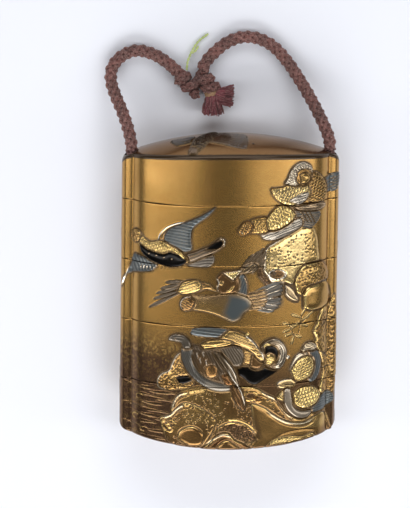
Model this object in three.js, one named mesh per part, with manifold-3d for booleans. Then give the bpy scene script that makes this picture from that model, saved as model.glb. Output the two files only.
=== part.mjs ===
// A Japanese inro: a small lacquered case of five nested pieces, strung on one braided silk cord.
// Units are millimetres and +Z is up. The case lies on its back: +X runs across it, +Y towards its lid
// and +Z out of its front. The origin is under the middle of the case, on the surface it lies on.
import * as THREE from "three";
import Module from "manifold-3d";
import { mergeVertices } from "three/addons/utils/BufferGeometryUtils.js";

const wasm = await Module();
wasm.setup();

// Driving dimensions of the case.
const LENGTH = 85; // from the crown of the lid to the lowest point of the base
const HALF_WIDTH = 29; // to the outside of the cord runners
const BODY_A = 26.7; // half width of the elliptical body
const BODY_B = 12; // half thickness of the body
const RUNNER_R = 2.6; // outside radius of the cord runner on each side
const RUNNER_X = HALF_WIDTH - RUNNER_R;
const BORE_R = 1.9; // cord channel inside each runner
const FLAT_DEPTH = 0.15; // depth of the flat on the back that the case lies on
const MID_Z = BODY_B - FLAT_DEPTH; // height of the middle plane
const CORNER_R = 1.4; // rounding of the runners' ends
const SEAM_GAP = 0.3; // between one piece and the next
const FIT_GAP = 0.3; // between a lip and the socket over it

// The seams, as distances along Y, and the two domed ends.
const SEAMS = [25.5, 9.1, -7.3, -23.7];
const LID_CROWN = { rise: 3.4, arch: 0.0019, end: LENGTH / 2 };
const BASE_CROWN = { rise: 1.5, arch: 0.0035, end: -LENGTH / 2 };

// Walls and lips.
const LIP_HEIGHT = 4.2;
const SOCKET_DEPTH = LIP_HEIGHT + FIT_GAP;
const FLOOR = 1.2;
const BASE_FLOOR = 4.1; // over the domed underside, where the cord's groove is cut
const LID_ROOF = 1.9;
const ROOM_A = 22.6; // half width of the compartments
const ROOM_B = 9.7;
const LIP_WALL = 0.9;

// The relief: its depth under the lacquer and the heights of its parts.
const BURIED = 0.5;
const EDGE_RISE = 0.22;
const FULL_SHARE = 0.62; // of the way out from a form's middle, where it has its full height
const MIDDLE_SWELL = 1.08; // a form's middle is this much higher still
const ROCK_RISE = 0.6; // the cliff and the shore
const SHORE_RUN = 1.2; // from the shore's skyline to its full height
const BIRD_RISE = { fans: 0.5, body: 0.95, head: 0.9 };
const LID_BIRD_RISE = { fans: 0.3, body: 0.4, head: 0.4 };

// The cord.
const CORD_R = 1.65;
const HELD_R = 1.5; // squeezed a little in the channels
const GROOVE_SINK = 0.9; // the cord's middle lies this far inside the underside of the base
const JOINT_GAP = 0.35; // between one stretch of cord and the next

// How finely the round forms are cut up.
const TUBE_SIDES = 8;
const BORE_SIDES = 10;
const HOLLOW_SIDES = 24;
const SHORE_STEPS = 16;
const UNDER_STEPS = 18;
const HELD_STEPS = 42;
const LEFT_STEPS = 22;
const RIGHT_STEPS = 27;
const THREAD_STEPS = 10;
const TUFT_SIDES = 10;
const LUMP_GRID = [10, 7];
const HALVINGS = 40; // of the stretch where the gutter is looked for
const ARC_SEGMENTS = [400, 120]; // body and runner, for measuring along the front

// ---------------------------------------------------------------- solids

// A closed mesh as a manifold-3d solid.
function solid(geometry) {
  const bare = geometry.clone();
  for (const name of ["normal", "uv"]) bare.deleteAttribute(name);
  const merged = mergeVertices(bare, 1e-4);
  return new wasm.Manifold(
    new wasm.Mesh({
      numProp: 3,
      vertProperties: new Float32Array(merged.attributes.position.array),
      triVerts: new Uint32Array(merged.index.array),
    }),
  );
}

// A manifold-3d solid as a three.js geometry.
function geometryOf(made) {
  const { numVert, numProp, vertProperties, triVerts } = made.getMesh();
  const corners = Array.from({ length: numVert }, (_, i) =>
    new THREE.Vector3().fromArray(vertProperties, i * numProp),
  );
  const geometry = new THREE.BufferGeometry().setFromPoints(corners).setIndex([...triVerts]);
  geometry.computeVertexNormals();
  return geometry;
}

// A closed triangle mesh from a list of points and a list of triangles.
function solidFrom(points, triangles) {
  const geometry = new THREE.BufferGeometry()
    .setAttribute("position", new THREE.Float32BufferAttribute(points.flat(), 3))
    .setIndex(triangles.flat());
  return solid(geometry);
}

// The same, with the triangles turned over if they would face inwards.
function outward(points, triangles) {
  const corners = triangles.map((t) => t.map((i) => new THREE.Vector3(...points[i])));
  const volume = corners.reduce((sum, [a, b, c]) => sum + a.dot(b.clone().cross(c)), 0);
  return solidFrom(points, volume > 0 ? triangles : triangles.map(([a, b, c]) => [a, c, b]));
}

// A prism of an outline in the X-Z plane, between two stations along Y.
function prism(outline, fromY, toY) {
  const shape = new THREE.Shape(outline.map(([x, z]) => new THREE.Vector2(x, z)));
  const geometry = new THREE.ExtrudeGeometry(shape, { depth: toY - fromY, bevelEnabled: false });
  return solid(geometry.rotateX(Math.PI / 2).translate(0, toY, MID_Z));
}

function ellipse(a, b, segments) {
  return Array.from({ length: segments }, (_, i) => {
    const angle = (2 * Math.PI * i) / segments;
    return [a * Math.cos(angle), b * Math.sin(angle)];
  });
}

// ---------------------------------------------------------------- plan of the case

// Where the runner's circle meets the body's ellipse, as a fraction of a turn on each.
function gutter() {
  let low = RUNNER_X - RUNNER_R;
  let high = BODY_A;
  for (let i = 0; i < HALVINGS; i++) {
    const x = (low + high) / 2;
    const onBody = BODY_B * Math.sqrt(1 - (x / BODY_A) ** 2);
    const onRunner = Math.sqrt(Math.max(0, RUNNER_R ** 2 - (x - RUNNER_X) ** 2));
    if (onBody > onRunner) low = x;
    else high = x;
  }
  return { x: low, z: BODY_B * Math.sqrt(1 - (low / BODY_A) ** 2) };
}

const GUTTER = gutter();

// The front half of the plan, from the right runner over the front to the left one.
function frontHalf(bodySegments, runnerSegments) {
  const runnerEnd = Math.atan2(GUTTER.z, GUTTER.x - RUNNER_X);
  const bodyStart = Math.atan2(GUTTER.z / BODY_B, GUTTER.x / BODY_A);
  const right = [];
  for (let i = 0; i < runnerSegments; i++) {
    const angle = (runnerEnd * i) / runnerSegments;
    right.push([RUNNER_X + RUNNER_R * Math.cos(angle), RUNNER_R * Math.sin(angle)]);
  }
  for (let i = 0; i < bodySegments; i++) {
    const angle = bodyStart + ((Math.PI / 2 - bodyStart) * i) / bodySegments;
    right.push([BODY_A * Math.cos(angle), BODY_B * Math.sin(angle)]);
  }
  const left = right.map(([x, z]) => [-x, z]).reverse();
  return [...right, [0, BODY_B], ...left];
}

function planOutline(bodySegments = 11, runnerSegments = 4) {
  const front = frontHalf(bodySegments, runnerSegments);
  const back = front.slice(1, -1).map(([x, z]) => [x, Math.max(-z, -MID_Z)]);
  return [...front, ...back.reverse()];
}

// Arc length along the front of the plan, 0 at its middle and growing towards +X.
function arcTable() {
  const points = frontHalf(...ARC_SEGMENTS).reverse();
  let run = 0;
  const rows = points.map((p, i) => {
    if (i) run += Math.hypot(p[0] - points[i - 1][0], p[1] - points[i - 1][1]);
    return { u: run, x: p[0], z: p[1] };
  });
  const half = run / 2;
  return rows.map((row) => ({ ...row, u: row.u - half }));
}

const ARC = arcTable();

// A place on the lacquered front: u along the curved face, y along the case, h out of the face.
function onFront(u, y, h) {
  let i = ARC.findIndex((row) => row.u >= u);
  i = Math.min(Math.max(i, 1), ARC.length - 1);
  const [from, to] = [ARC[i - 1], ARC[i]];
  const share = (u - from.u) / (to.u - from.u);
  const x = from.x + share * (to.x - from.x);
  const z = from.z + share * (to.z - from.z);
  const runner = Math.sign(x) * RUNNER_X;
  const onRunner = Math.abs(x) > GUTTER.x;
  const out = onRunner ? [x - runner, z] : [x / BODY_A ** 2, z / BODY_B ** 2];
  const normal = new THREE.Vector2(...out).normalize();
  return [x + h * normal.x, y, MID_Z + z + h * normal.y];
}

// ---------------------------------------------------------------- domed ends

function crownY({ rise, arch, end }, x, z) {
  const down = rise * (z / BODY_B) ** 2 + (arch + rise / BODY_A ** 2) * x * x;
  const beyond = Math.min(Math.max(Math.abs(x) - HALF_WIDTH + CORNER_R, 0), CORNER_R);
  const corner = CORNER_R - Math.sqrt(CORNER_R ** 2 - beyond ** 2);
  return end - Math.sign(end) * (down + corner);
}

// A place on the lid's dome: x across, z from the middle plane, h out of the dome.
function onDome(x, z, h) {
  return [x, crownY(LID_CROWN, x, z) + h, MID_Z + z];
}

// A block that the crowns of the lid and the base bound, drawn in by a margin.
function crownBlock(margin, columns = 12, rows = 6) {
  const spare = 2; // past the case on every side
  const deep = BODY_B + spare;
  const flank = [0.9, 0.5, 0.15, 0].map((share) => HALF_WIDTH - share * CORNER_R);
  const middle = Array.from({ length: columns - 1 }, (_, i) => (1 - (2 * (i + 1)) / columns) * BODY_A);
  const edge = [HALF_WIDTH + spare, ...flank.reverse()];
  const stations = [...edge, ...middle, ...edge.map((x) => -x).reverse()];
  const points = [];
  for (const crown of [BASE_CROWN, LID_CROWN])
    for (const x of stations)
      for (let j = 0; j <= rows; j++) {
        const z = deep * ((2 * j) / rows - 1);
        points.push([-x, crownY(crown, x, z) - Math.sign(crown.end) * margin, MID_Z + z]);
      }
  const last = stations.length - 1;
  const layer = stations.length * (rows + 1);
  const at = (level, i, j) => level * layer + i * (rows + 1) + j;
  const triangles = [];
  const quad = (a, b, c, d) => triangles.push([a, b, c], [a, c, d]);
  for (let i = 0; i < last; i++)
    for (let j = 0; j < rows; j++) {
      quad(at(0, i, j), at(0, i + 1, j), at(0, i + 1, j + 1), at(0, i, j + 1));
      quad(at(1, i, j), at(1, i, j + 1), at(1, i + 1, j + 1), at(1, i + 1, j));
    }
  for (let i = 0; i < last; i++) {
    quad(at(0, i, 0), at(1, i, 0), at(1, i + 1, 0), at(0, i + 1, 0));
    quad(at(0, i, rows), at(0, i + 1, rows), at(1, i + 1, rows), at(1, i, rows));
  }
  for (let j = 0; j < rows; j++) {
    quad(at(0, 0, j), at(0, 0, j + 1), at(1, 0, j + 1), at(1, 0, j));
    quad(at(0, last, j), at(1, last, j), at(1, last, j + 1), at(0, last, j + 1));
  }
  return solidFrom(points, triangles);
}

// ---------------------------------------------------------------- relief

// A raised form over an outline: an edge, an inner ring at its full height, and a middle point.
function pillow(outline, height, place = onFront) {
  const n = outline.length;
  const middle = [0, 1].map((k) => outline.reduce((sum, p) => sum + p[k], 0) / n);
  const inward = ([u, v], share) => [
    middle[0] + share * (u - middle[0]),
    middle[1] + share * (v - middle[1]),
  ];
  const ring = (share, h) => outline.map((p) => place(...inward(p, share), h));
  const points = [
    ...ring(1, -BURIED),
    ...ring(1, EDGE_RISE),
    ...ring(FULL_SHARE, height),
    place(...middle, height * MIDDLE_SWELL),
    place(...middle, -BURIED),
  ];
  const [top, bottom] = [3 * n, 3 * n + 1];
  const triangles = [];
  for (let i = 0; i < n; i++) {
    const j = (i + 1) % n;
    for (const level of [0, n])
      triangles.push(
        [level + i, level + j, level + n + j],
        [level + i, level + n + j, level + n + i],
      );
    triangles.push([2 * n + i, 2 * n + j, top], [j, i, bottom]);
  }
  return outward(points, triangles);
}

// An egg-shaped outline from its front end to its back end; taper over 0 makes the front end slimmer.
function egg(from, to, width, taper = 0.25, segments = 8) {
  const along = new THREE.Vector2(to[0] - from[0], to[1] - from[1]);
  const half = along.length() / 2;
  along.normalize();
  return Array.from({ length: segments }, (_, i) => {
    const angle = (2 * Math.PI * i) / segments;
    const reach = half * Math.cos(angle);
    const side = (width / 2) * Math.sin(angle) * (1 + taper * Math.cos(angle));
    return [
      (from[0] + to[0]) / 2 + reach * along.x - side * along.y,
      (from[1] + to[1]) / 2 + reach * along.y + side * along.x,
    ];
  });
}

// The outline of a wing or a tail: its arm, and the curve that the tips of its feathers follow.
function fan({ arm, tips }, segments = 5) {
  const [root, wrist] = arm;
  const [tip, bend, trail] = tips;
  const edge = Array.from({ length: segments + 1 }, (_, i) => {
    const t = i / segments;
    return [0, 1].map((k) => (1 - t) ** 2 * tip[k] + 2 * t * (1 - t) * bend[k] + t * t * trail[k]);
  });
  const lead = [0, 1].map((k) => (wrist[k] + tip[k]) / 2);
  return [root, wrist, lead, ...edge];
}

// A boulder's outline: an ellipse with a few blunt corners.
function boulder({ at, size, turn, lumps = 0.1 }, segments = 10) {
  return Array.from({ length: segments }, (_, i) => {
    const angle = (2 * Math.PI * i) / segments;
    const small = 0.6 * lumps;
    const r = 1 + lumps * Math.cos(3 * angle + 1) + small * Math.cos(5 * angle + at[0]);
    const [p, q] = [size[0] * r * Math.cos(angle), size[1] * r * Math.sin(angle)];
    return [
      at[0] + p * Math.cos(turn) - q * Math.sin(turn),
      at[1] + p * Math.sin(turn) + q * Math.cos(turn),
    ];
  });
}

// Flying and perching birds, in places along and across the front. A body runs from neck to rump.
const BIRDS = [
  {
    head: { from: [-26.4, 16.4], to: [-23.4, 14.6], width: 2.2 },
    body: { from: [-25.2, 14.6], to: [-12.2, 10.4], width: 4.6 },
    fans: [
      { arm: [[-17.5, 12.6], [-18.6, 18.8]], tips: [[-4.9, 25.1], [-9.5, 20.5], [-11, 13]] },
      { arm: [[-19.6, 9.4], [-25.6, 9.8]], tips: [[-31.6, 1.6], [-27.4, 2.4], [-20.4, 7.2]] },
      { arm: [[-13.7, 9.4], [-13.9, 12.2]], tips: [[-2.4, 16.2], [-3.8, 12.4], [-5.8, 9.4]] },
    ],
  },
  {
    head: { from: [-13.4, -1.4], to: [-9.6, -0.2], width: 2.8 },
    body: { from: [-11.2, -0.8], to: [6.4, -1.1], width: 6.4 },
    fans: [
      { arm: [[-4.4, 2], [-10.8, 5.4]], tips: [[-20.7, -2.4], [-14.8, -1], [-8.2, 1]] },
      { arm: [[-3.6, 2.2], [0.2, 9]], tips: [[10.6, 16.6], [8, 9.6], [3.2, 2]] },
      { arm: [[4.5, -2.4], [4.4, 0.6]], tips: [[12.4, 2.6], [13.4, -0.4], [11.2, -3.4]] },
    ],
  },
  {
    head: { from: [-16.8, -11.6], to: [-13.2, -10.8], width: 2.8 },
    body: { from: [-14.4, -11.4], to: [-1.8, -21.8], width: 6.6 },
    fans: [
      { arm: [[8, -16], [2.4, -9.4]], tips: [[-10.4, -8.2], [-11, -12], [-2.6, -17]] },
      { arm: [[-6.4, -16], [-2.8, -13.8]], tips: [[3.8, -28.9], [-1.6, -24.4], [-6.2, -20.4]] },
    ],
  },
  {
    head: { from: [8.4, -12.6], to: [13.4, -17.6], width: 5.6 },
    body: { from: [13.6, -17.4], to: [2.4, -20.6], width: 4.6 },
    fans: [],
  },
  {
    head: { from: [19.6, 35], to: [14, 30.6], width: 5.4 },
    body: { from: [21.4, 28], to: [10.6, 29], width: 6.2 },
    fans: [{ arm: [[20.4, 26.4], [19.6, 31.6]], tips: [[27.6, 30.6], [28.6, 28.6], [26.8, 26]] }],
  },
  {
    head: { from: [1.4, 18.4], to: [5.2, 21.4], width: 2.8 },
    body: { from: [3.6, 19.8], to: [18, 23.6], width: 6.6 },
    fans: [{ arm: [[16.4, 20.8], [16.6, 24.4]], tips: [[24.4, 21], [24, 19], [21.4, 18.4]] }],
  },
  {
    head: { from: [19, -14.4], to: [22.6, -13.4], width: 2.6 },
    body: { from: [22.8, -14.8], to: [16.4, -23], width: 6 },
    fans: [],
  },
  {
    head: { from: [13.2, -26.4], to: [16.8, -24.8], width: 2.2 },
    body: { from: [14.8, -26], to: [25.6, -30], width: 6.6 },
    fans: [],
  },
];

// The bird on the lid's dome, in places across the lid and away from its middle plane.
const LID_BIRD = {
  head: { from: [-10.9, 9.2], to: [-10.2, 5.6], width: 2.2 },
  body: { from: [-10.6, 6.6], to: [-4.2, -0.6], width: 3.8 },
  fans: [
    { arm: [[-9, 4.4], [-8.8, 1.4]], tips: [[-15, 0.4], [-15.4, 2], [-14.4, 3.8]] },
    { arm: [[-6.6, 4.4], [-4.8, -0.4]], tips: [[1, 2], [2.4, 5.4], [1.8, 8.4]] },
  ],
};

// Rocks: middle, half sizes, turn in radians and height.
const BOULDERS = [
  { at: [16.6, 10.6], size: [8.4, 8], turn: 0.7, height: 0.75 },
  { at: [22.4, 4.4], size: [3.6, 4.6], turn: -0.3, height: 0.95 },
  { at: [23.2, -1.6], size: [3.2, 3.6], turn: 0.2, height: 0.9 },
  { at: [15.8, 1], size: [1.6, 2.8], turn: 0.6, height: 0.6 },
  { at: [-15.8, -19.8], size: [3, 5.4], turn: -0.6, height: 0.55 },
  { at: [15, -23], size: [2.6, 1.2], turn: -0.1, height: 0.7 },
];

// The skyline of the rocks at the foot of the case, and of the cliff on the right.
const SHORE = [
  [-18.6, -36], [-16.6, -30.6], [-12.4, -26.4], [-7, -24.3], [4, -24.3],
  [8.4, -26], [12, -29.2], [17, -31.8], [22.5, -32], [26.8, -29.6],
];
const CLIFF = { left: [[26.2, -3], [24.2, -11], [25, -18], [24.6, -27]], right: 27 };

// A raised slope under a skyline, down to the foot of the case, in steps across the front.
function slope(skyline, footY, height) {
  const curve = new THREE.CatmullRomCurve3(skyline.map(([u, y]) => new THREE.Vector3(u, y, 0)));
  const stations = curve.getPoints(SHORE_STEPS);
  const [lowest, gap] = [footY + 0.4, 0.4];
  const points = stations.flatMap(({ x, y }) => [
    onFront(x, footY, -BURIED),
    onFront(x, footY, height),
    onFront(x, Math.max(y - SHORE_RUN, lowest), height),
    onFront(x, Math.max(y, lowest + gap), -BURIED),
  ]);
  const triangles = [[0, 1, 2], [0, 2, 3]];
  for (let i = 0; i < stations.length - 1; i++)
    for (let k = 0; k < 4; k++) {
      const [a, b] = [4 * i + k, 4 * i + ((k + 1) % 4)];
      triangles.push([a, a + 4, b + 4], [a, b + 4, b]);
    }
  const last = 4 * (stations.length - 1);
  triangles.push([last, last + 2, last + 1], [last, last + 3, last + 2]);
  return outward(points, triangles);
}

function birdForms({ head, body, fans }, rise = BIRD_RISE, place = onFront) {
  return [
    ...fans.map((form) => pillow(fan(form), rise.fans, place)),
    pillow(egg(body.from, body.to, body.width), rise.body, place),
    pillow(egg(head.from, head.to, head.width, 0), rise.head, place),
  ];
}

// The whole relief as one solid, before it is cut at the seams.
function reliefSolid() {
  const { left, right } = CLIFF;
  const cliff = [...left, [right, left.at(-1)[1]], [right, left[0][1]]];
  const forms = [
    ...BOULDERS.map((b) => pillow(boulder(b), b.height)),
    ...BIRDS.flatMap((b) => birdForms(b)),
    pillow(cliff, ROCK_RISE),
    slope(SHORE, -LENGTH / 2, ROCK_RISE),
  ];
  return wasm.Manifold.union(forms);
}

// ---------------------------------------------------------------- the five pieces

const ROOM = ellipse(ROOM_A, ROOM_B, HOLLOW_SIDES);
const LIP = ellipse(ROOM_A + LIP_WALL, ROOM_B + LIP_WALL, HOLLOW_SIDES);
const SOCKET = ellipse(ROOM_A + LIP_WALL + FIT_GAP, ROOM_B + LIP_WALL + FIT_GAP, HOLLOW_SIDES);
const REACH = LENGTH; // longer than any cut has to be

function rectangle(x, z) {
  return [[-x, -z], [x, -z], [x, z], [-x, z]];
}

// The straight channels for the cord, through both runners.
function bores() {
  const circle = ellipse(BORE_R, BORE_R, BORE_SIDES);
  const at = [-1, 1].map((side) => circle.map(([x, z]) => [x + side * RUNNER_X, z]));
  return wasm.Manifold.union(at.map((outline) => prism(outline, -REACH, REACH)));
}

// The outside of the whole case with its relief and channels, before it is parted at the seams.
const OUTSIDE = prism(planOutline(), -REACH, REACH)
  .add(reliefSolid())
  .intersect(crownBlock(0))
  .add(wasm.Manifold.union(birdForms(LID_BIRD, LID_BIRD_RISE, onDome)))
  .subtract(bores());

// The outside between two stations, with a socket below it and a lip above it where it has them.
function piece({ fromY, toY, hasSocket, hasLip }) {
  let made = OUTSIDE.intersect(prism(rectangle(REACH, REACH), fromY, toY));
  if (hasLip) made = made.add(prism(LIP, toY - FLOOR, toY + LIP_HEIGHT));
  if (hasSocket) made = made.subtract(prism(SOCKET, fromY - FLOOR, fromY + SOCKET_DEPTH));
  return made;
}

// The hollows of the lid and the base follow the crowns; those between them have flat floors.
function lidPiece(fromY) {
  const room = prism(ROOM, -REACH, REACH).intersect(crownBlock(LID_ROOF, 8, 4));
  return piece({ fromY, toY: REACH, hasSocket: true }).subtract(room);
}

function middlePiece(bottomSeam, topSeam) {
  const fromY = bottomSeam + SEAM_GAP / 2;
  const toY = topSeam - SEAM_GAP / 2;
  const room = prism(ROOM, fromY + SOCKET_DEPTH + FLOOR, REACH);
  return piece({ fromY, toY, hasSocket: true, hasLip: true }).subtract(room);
}

function basePiece(topSeam) {
  const room = prism(ROOM, -REACH, REACH).intersect(crownBlock(BASE_FLOOR, 8, 4));
  return piece({ fromY: -REACH, toY: topSeam - SEAM_GAP / 2, hasLip: true })
    .subtract(room.add(prism(ROOM, 0, REACH)))
    .subtract(solid(tube(underRoute(), BORE_R, UNDER_STEPS, BORE_SIDES)));
}

// ---------------------------------------------------------------- cord, knot and tassel

// Height of the middle of a cord that lies on the surface.
const LYING_Z = CORD_R + 0.1;

// Where the free cord leaves each channel, from the lid's shoulder.
const EXIT_Y = crownY(LID_CROWN, RUNNER_X, 0) + JOINT_GAP;

const LEFT_ROUTE = [
  [-RUNNER_X, EXIT_Y, MID_Z], [-26.7, 41, 11.6], [-27.6, 44.6, 10.3], [-28.9, 48.2, 8.2],
  [-30.5, 51.8, 5.8], [-31.6, 55.3, 3.7], [-31.2, 58.8, 2.4], [-28.6, 61.8, 1.9],
  [-24.7, 63.2, LYING_Z], [-20.6, 62.3, LYING_Z], [-17.1, 60.3, 1.8], [-14.3, 57.9, 2],
  [-12.2, 56, 2.3],
];
const RIGHT_ROUTE = [
  [RUNNER_X, EXIT_Y, MID_Z], [26.2, 41.2, 11.5], [24.8, 44.8, 10], [22.9, 48.6, 7.8],
  [20.8, 52.3, 5.4], [18.2, 56.4, 3.4], [15.3, 60.5, 2.2], [11.8, 64.2, 1.8],
  [7.7, 66.4, LYING_Z], [3.6, 66.8, LYING_Z], [-0.2, 65.6, LYING_Z], [-3.4, 63.2, 1.8],
  [-5.9, 60.6, 2.1], [-7.3, 58.3, 2.6],
];
const KNOT_TURNS = [
  { at: [-9.4, 54.6, 2.7], size: [2.6, 2.3, 2.4] },
  { at: [-7.4, 54.2, 3.4], size: [2.4, 2.4, 2.5] },
  { at: [-5.4, 54.4, 2.8], size: [2.4, 2.8, 2.5] },
];
const TUFTS = [
  { from: [-5, 51.2, 2.6], to: [-3, 44.6, 2.2], wide: [1.5, 2.4, 1.7] },
  { from: [-2.4, 52.6, 2.6], to: [2.2, 50.4, 2.3], wide: [1.1, 2.8, 1.8] },
];
const THREAD_R = 0.4;
const THREAD_ROUTE = [
  [-11.4, 58, 2.6], [-11, 60.4, 1.8], [-9.6, 63.4, 1], [-8, 65.6, 0.6], [-5.6, 67.4, 0.5],
];

function curveThrough(points) {
  return new THREE.CatmullRomCurve3(points.map((p) => new THREE.Vector3(...p)));
}

// A round tube that follows a route.
function tube(route, radius, steps, sides = TUBE_SIDES) {
  const circle = ellipse(radius, radius, sides).map(([x, y]) => new THREE.Vector2(x, y));
  return new THREE.ExtrudeGeometry(new THREE.Shape(circle), {
    steps,
    bevelEnabled: false,
    extrudePath: curveThrough(route),
  });
}

// The held cord's stretch round both mouths of the channels and along the groove under the base.
function underRoute() {
  const along = (x) => [x, crownY(BASE_CROWN, x, 0) + GROOVE_SINK, MID_Z];
  const [, low] = along(RUNNER_X);
  const turn = [
    [RUNNER_X, low + 6, MID_Z],
    [RUNNER_X - 0.1, low + 3.2, MID_Z],
    [RUNNER_X - 0.9, low + 1.1, MID_Z],
    along(RUNNER_X - 3.2),
  ];
  const half = [...turn, along(16), along(8)];
  return [...half.map(([x, y, z]) => [-x, y, z]), along(0), ...half.reverse()];
}

// The whole stretch that the case holds: down one channel, under the base and up the other.
function heldRoute() {
  const top = EXIT_Y - JOINT_GAP;
  const down = [top, LENGTH / 4, 0, -LENGTH / 4].map((y) => [RUNNER_X, y, MID_Z]);
  return [...down.map(([x, y, z]) => [-x, y, z]), ...underRoute(), ...down.reverse()];
}

function lump({ at, size }) {
  return solid(new THREE.SphereGeometry(1, ...LUMP_GRID).scale(...size).translate(...at));
}

function knotSolid() {
  return wasm.Manifold.union(KNOT_TURNS.map(lump));
}

// A tuft of cord ends: it leaves the knot narrow, swells and is cut off blunt.
function tuft({ from, to, wide }) {
  const start = new THREE.Vector3(...from);
  const axis = new THREE.Vector3(...to).sub(start);
  const [neck, belly, tall] = wide;
  const swell = [[0.85, 0.35], [1, 0.7], [0.8, 1]].map(([share, t]) => [belly * share, t]);
  const profile = [[0, 0], [neck, 0], ...swell, [0, 1]];
  const lathe = new THREE.LatheGeometry(
    profile.map(([r, t]) => new THREE.Vector2(r, t * axis.length())),
    TUFT_SIDES,
  );
  return { lathe: lathe.scale(1, 1, tall / belly), start, axis };
}

// ---------------------------------------------------------------- materials and nodes

function material(color, roughness, metalness) {
  return new THREE.MeshStandardMaterial({ color, roughness, metalness });
}

const GOLD_LACQUER = material(0xb08a4a, 0.38, 0.75);
const CORD_SILK = material(0x6b3f38, 0.85, 0);
const FRAYED_SILK = material(0x84404a, 0.9, 0);
const THREAD_COTTON = material(0xc3d283, 0.9, 0);

const inro = new THREE.Group();

function addMesh(name, geometry, look) {
  const mesh = new THREE.Mesh(geometry, look);
  mesh.name = name;
  inro.add(mesh);
  return mesh;
}

addMesh("lid", geometryOf(lidPiece(SEAMS[0] + SEAM_GAP / 2)), GOLD_LACQUER);
["case_upper", "case_middle", "case_lower"].forEach((name, i) => {
  addMesh(name, geometryOf(middlePiece(SEAMS[i + 1], SEAMS[i])), GOLD_LACQUER);
});
addMesh("case_base", geometryOf(basePiece(SEAMS.at(-1))), GOLD_LACQUER);

addMesh("cord_loop_left", tube(LEFT_ROUTE, CORD_R, LEFT_STEPS), CORD_SILK);
addMesh("cord_loop_right", tube(RIGHT_ROUTE, CORD_R, RIGHT_STEPS), CORD_SILK);
addMesh("cord_held", tube(heldRoute(), HELD_R, HELD_STEPS), CORD_SILK);
addMesh("knot", geometryOf(knotSolid()), CORD_SILK);
TUFTS.forEach((made, i) => {
  const { lathe, start, axis } = tuft(made);
  const mesh = addMesh(["tuft_long", "tuft_short"][i], lathe, FRAYED_SILK);
  mesh.position.copy(start);
  mesh.quaternion.setFromUnitVectors(new THREE.Vector3(0, 1, 0), axis.clone().normalize());
});
addMesh("tag_thread", tube(THREAD_ROUTE, THREAD_R, THREAD_STEPS), THREAD_COTTON);

export default inro;
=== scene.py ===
"""A Japanese inro in gold lacquer: five nested pieces strung on one braided silk cord.

The case lies on its back. X runs across it, Y towards its lid and Z out of its front. Shapes are worked
out in millimetres and turned into metres as each mesh is made.
"""

import math

import bmesh
import bpy
import numpy as np
from mathutils import Matrix, Vector
from mathutils.geometry import delaunay_2d_cdt


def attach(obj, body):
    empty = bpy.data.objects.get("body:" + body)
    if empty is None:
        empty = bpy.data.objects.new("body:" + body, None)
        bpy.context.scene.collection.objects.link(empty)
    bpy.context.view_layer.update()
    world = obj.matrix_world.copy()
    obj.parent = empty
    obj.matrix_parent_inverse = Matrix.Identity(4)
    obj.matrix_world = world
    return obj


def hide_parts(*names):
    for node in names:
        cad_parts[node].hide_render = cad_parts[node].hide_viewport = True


bl_info = {
    "name": "Inro case",
    "version": (1, 0, 0),
    "blender": (4, 5, 0),
    "location": "View3D > Sidebar > Inro",
    "description": "A lacquered inro with raised birds and rocks, its cord, knot and tassel",
    "category": "Add Mesh",
}

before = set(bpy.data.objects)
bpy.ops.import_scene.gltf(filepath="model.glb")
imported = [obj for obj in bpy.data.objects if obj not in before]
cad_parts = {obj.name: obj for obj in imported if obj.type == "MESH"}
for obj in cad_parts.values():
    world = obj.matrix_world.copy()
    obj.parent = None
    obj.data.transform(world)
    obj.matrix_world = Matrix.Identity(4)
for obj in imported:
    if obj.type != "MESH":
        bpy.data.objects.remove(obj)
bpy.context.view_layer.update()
MM = 0.001

# The case, in millimetres.
BODY_A = 26.7
BODY_B = 12.0
RUNNER_R = 2.6
RUNNER_X = 26.4
BORE_R = 1.9
MID_Z = 11.85
HALF_WIDTH = 29.0
CORNER_R = 1.4
SEAMS = (25.5, 9.1, -7.3, -23.7)
SEAM_GAP = 0.18
LID_CROWN = (42.5, 3.4, 0.0019)
BASE_CROWN = (-42.5, 1.5, 0.0035)
LIP_HEIGHT = 4.2
SOCKET_DEPTH = 4.5
FLOOR = 1.2
BASE_FLOOR = 4.1
LID_ROOF = 1.9
ROOM = (22.6, 9.7)
LIP = (23.5, 10.6)
SOCKET = (23.8, 10.9)

# How far the edges are rounded, in millimetres, and in how many rows of points.
RIM = 0.12
LID_EDGE = 0.55
BASE_EDGE = 0.5
LIP_EASE = 0.2
SOCKET_EASE = 0.3
ROOM_EASE = 0.8
EDGE_ROWS = 5

# The groove under the base, in millimetres: how far the cord's middle is sunk, its half width, where it
# starts to dip into the channels, and over what run and how far it dips.
GROOVE_SINK = 0.9
GROOVE_HALF = 1.66
GROOVE_END = 24.6
GROOVE_RUN = 1.8
GROOVE_DIP = 6.0

# The points of the curved ends, in millimetres: how far they keep from edges and channels, the small
# skew that keeps them off one line, and the base's own distances.
EDGE_CLEAR = 0.37
BORE_CLEAR = 0.25
GRID_SKEW = 0.0137
BASE_PITCH = 0.6
GROOVE_ROWS = (-1.9, -1.68, -1.64, -1.4, 1.4, 1.64, 1.68, 1.9)
SHARP_ANGLE = math.radians(58)

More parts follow.
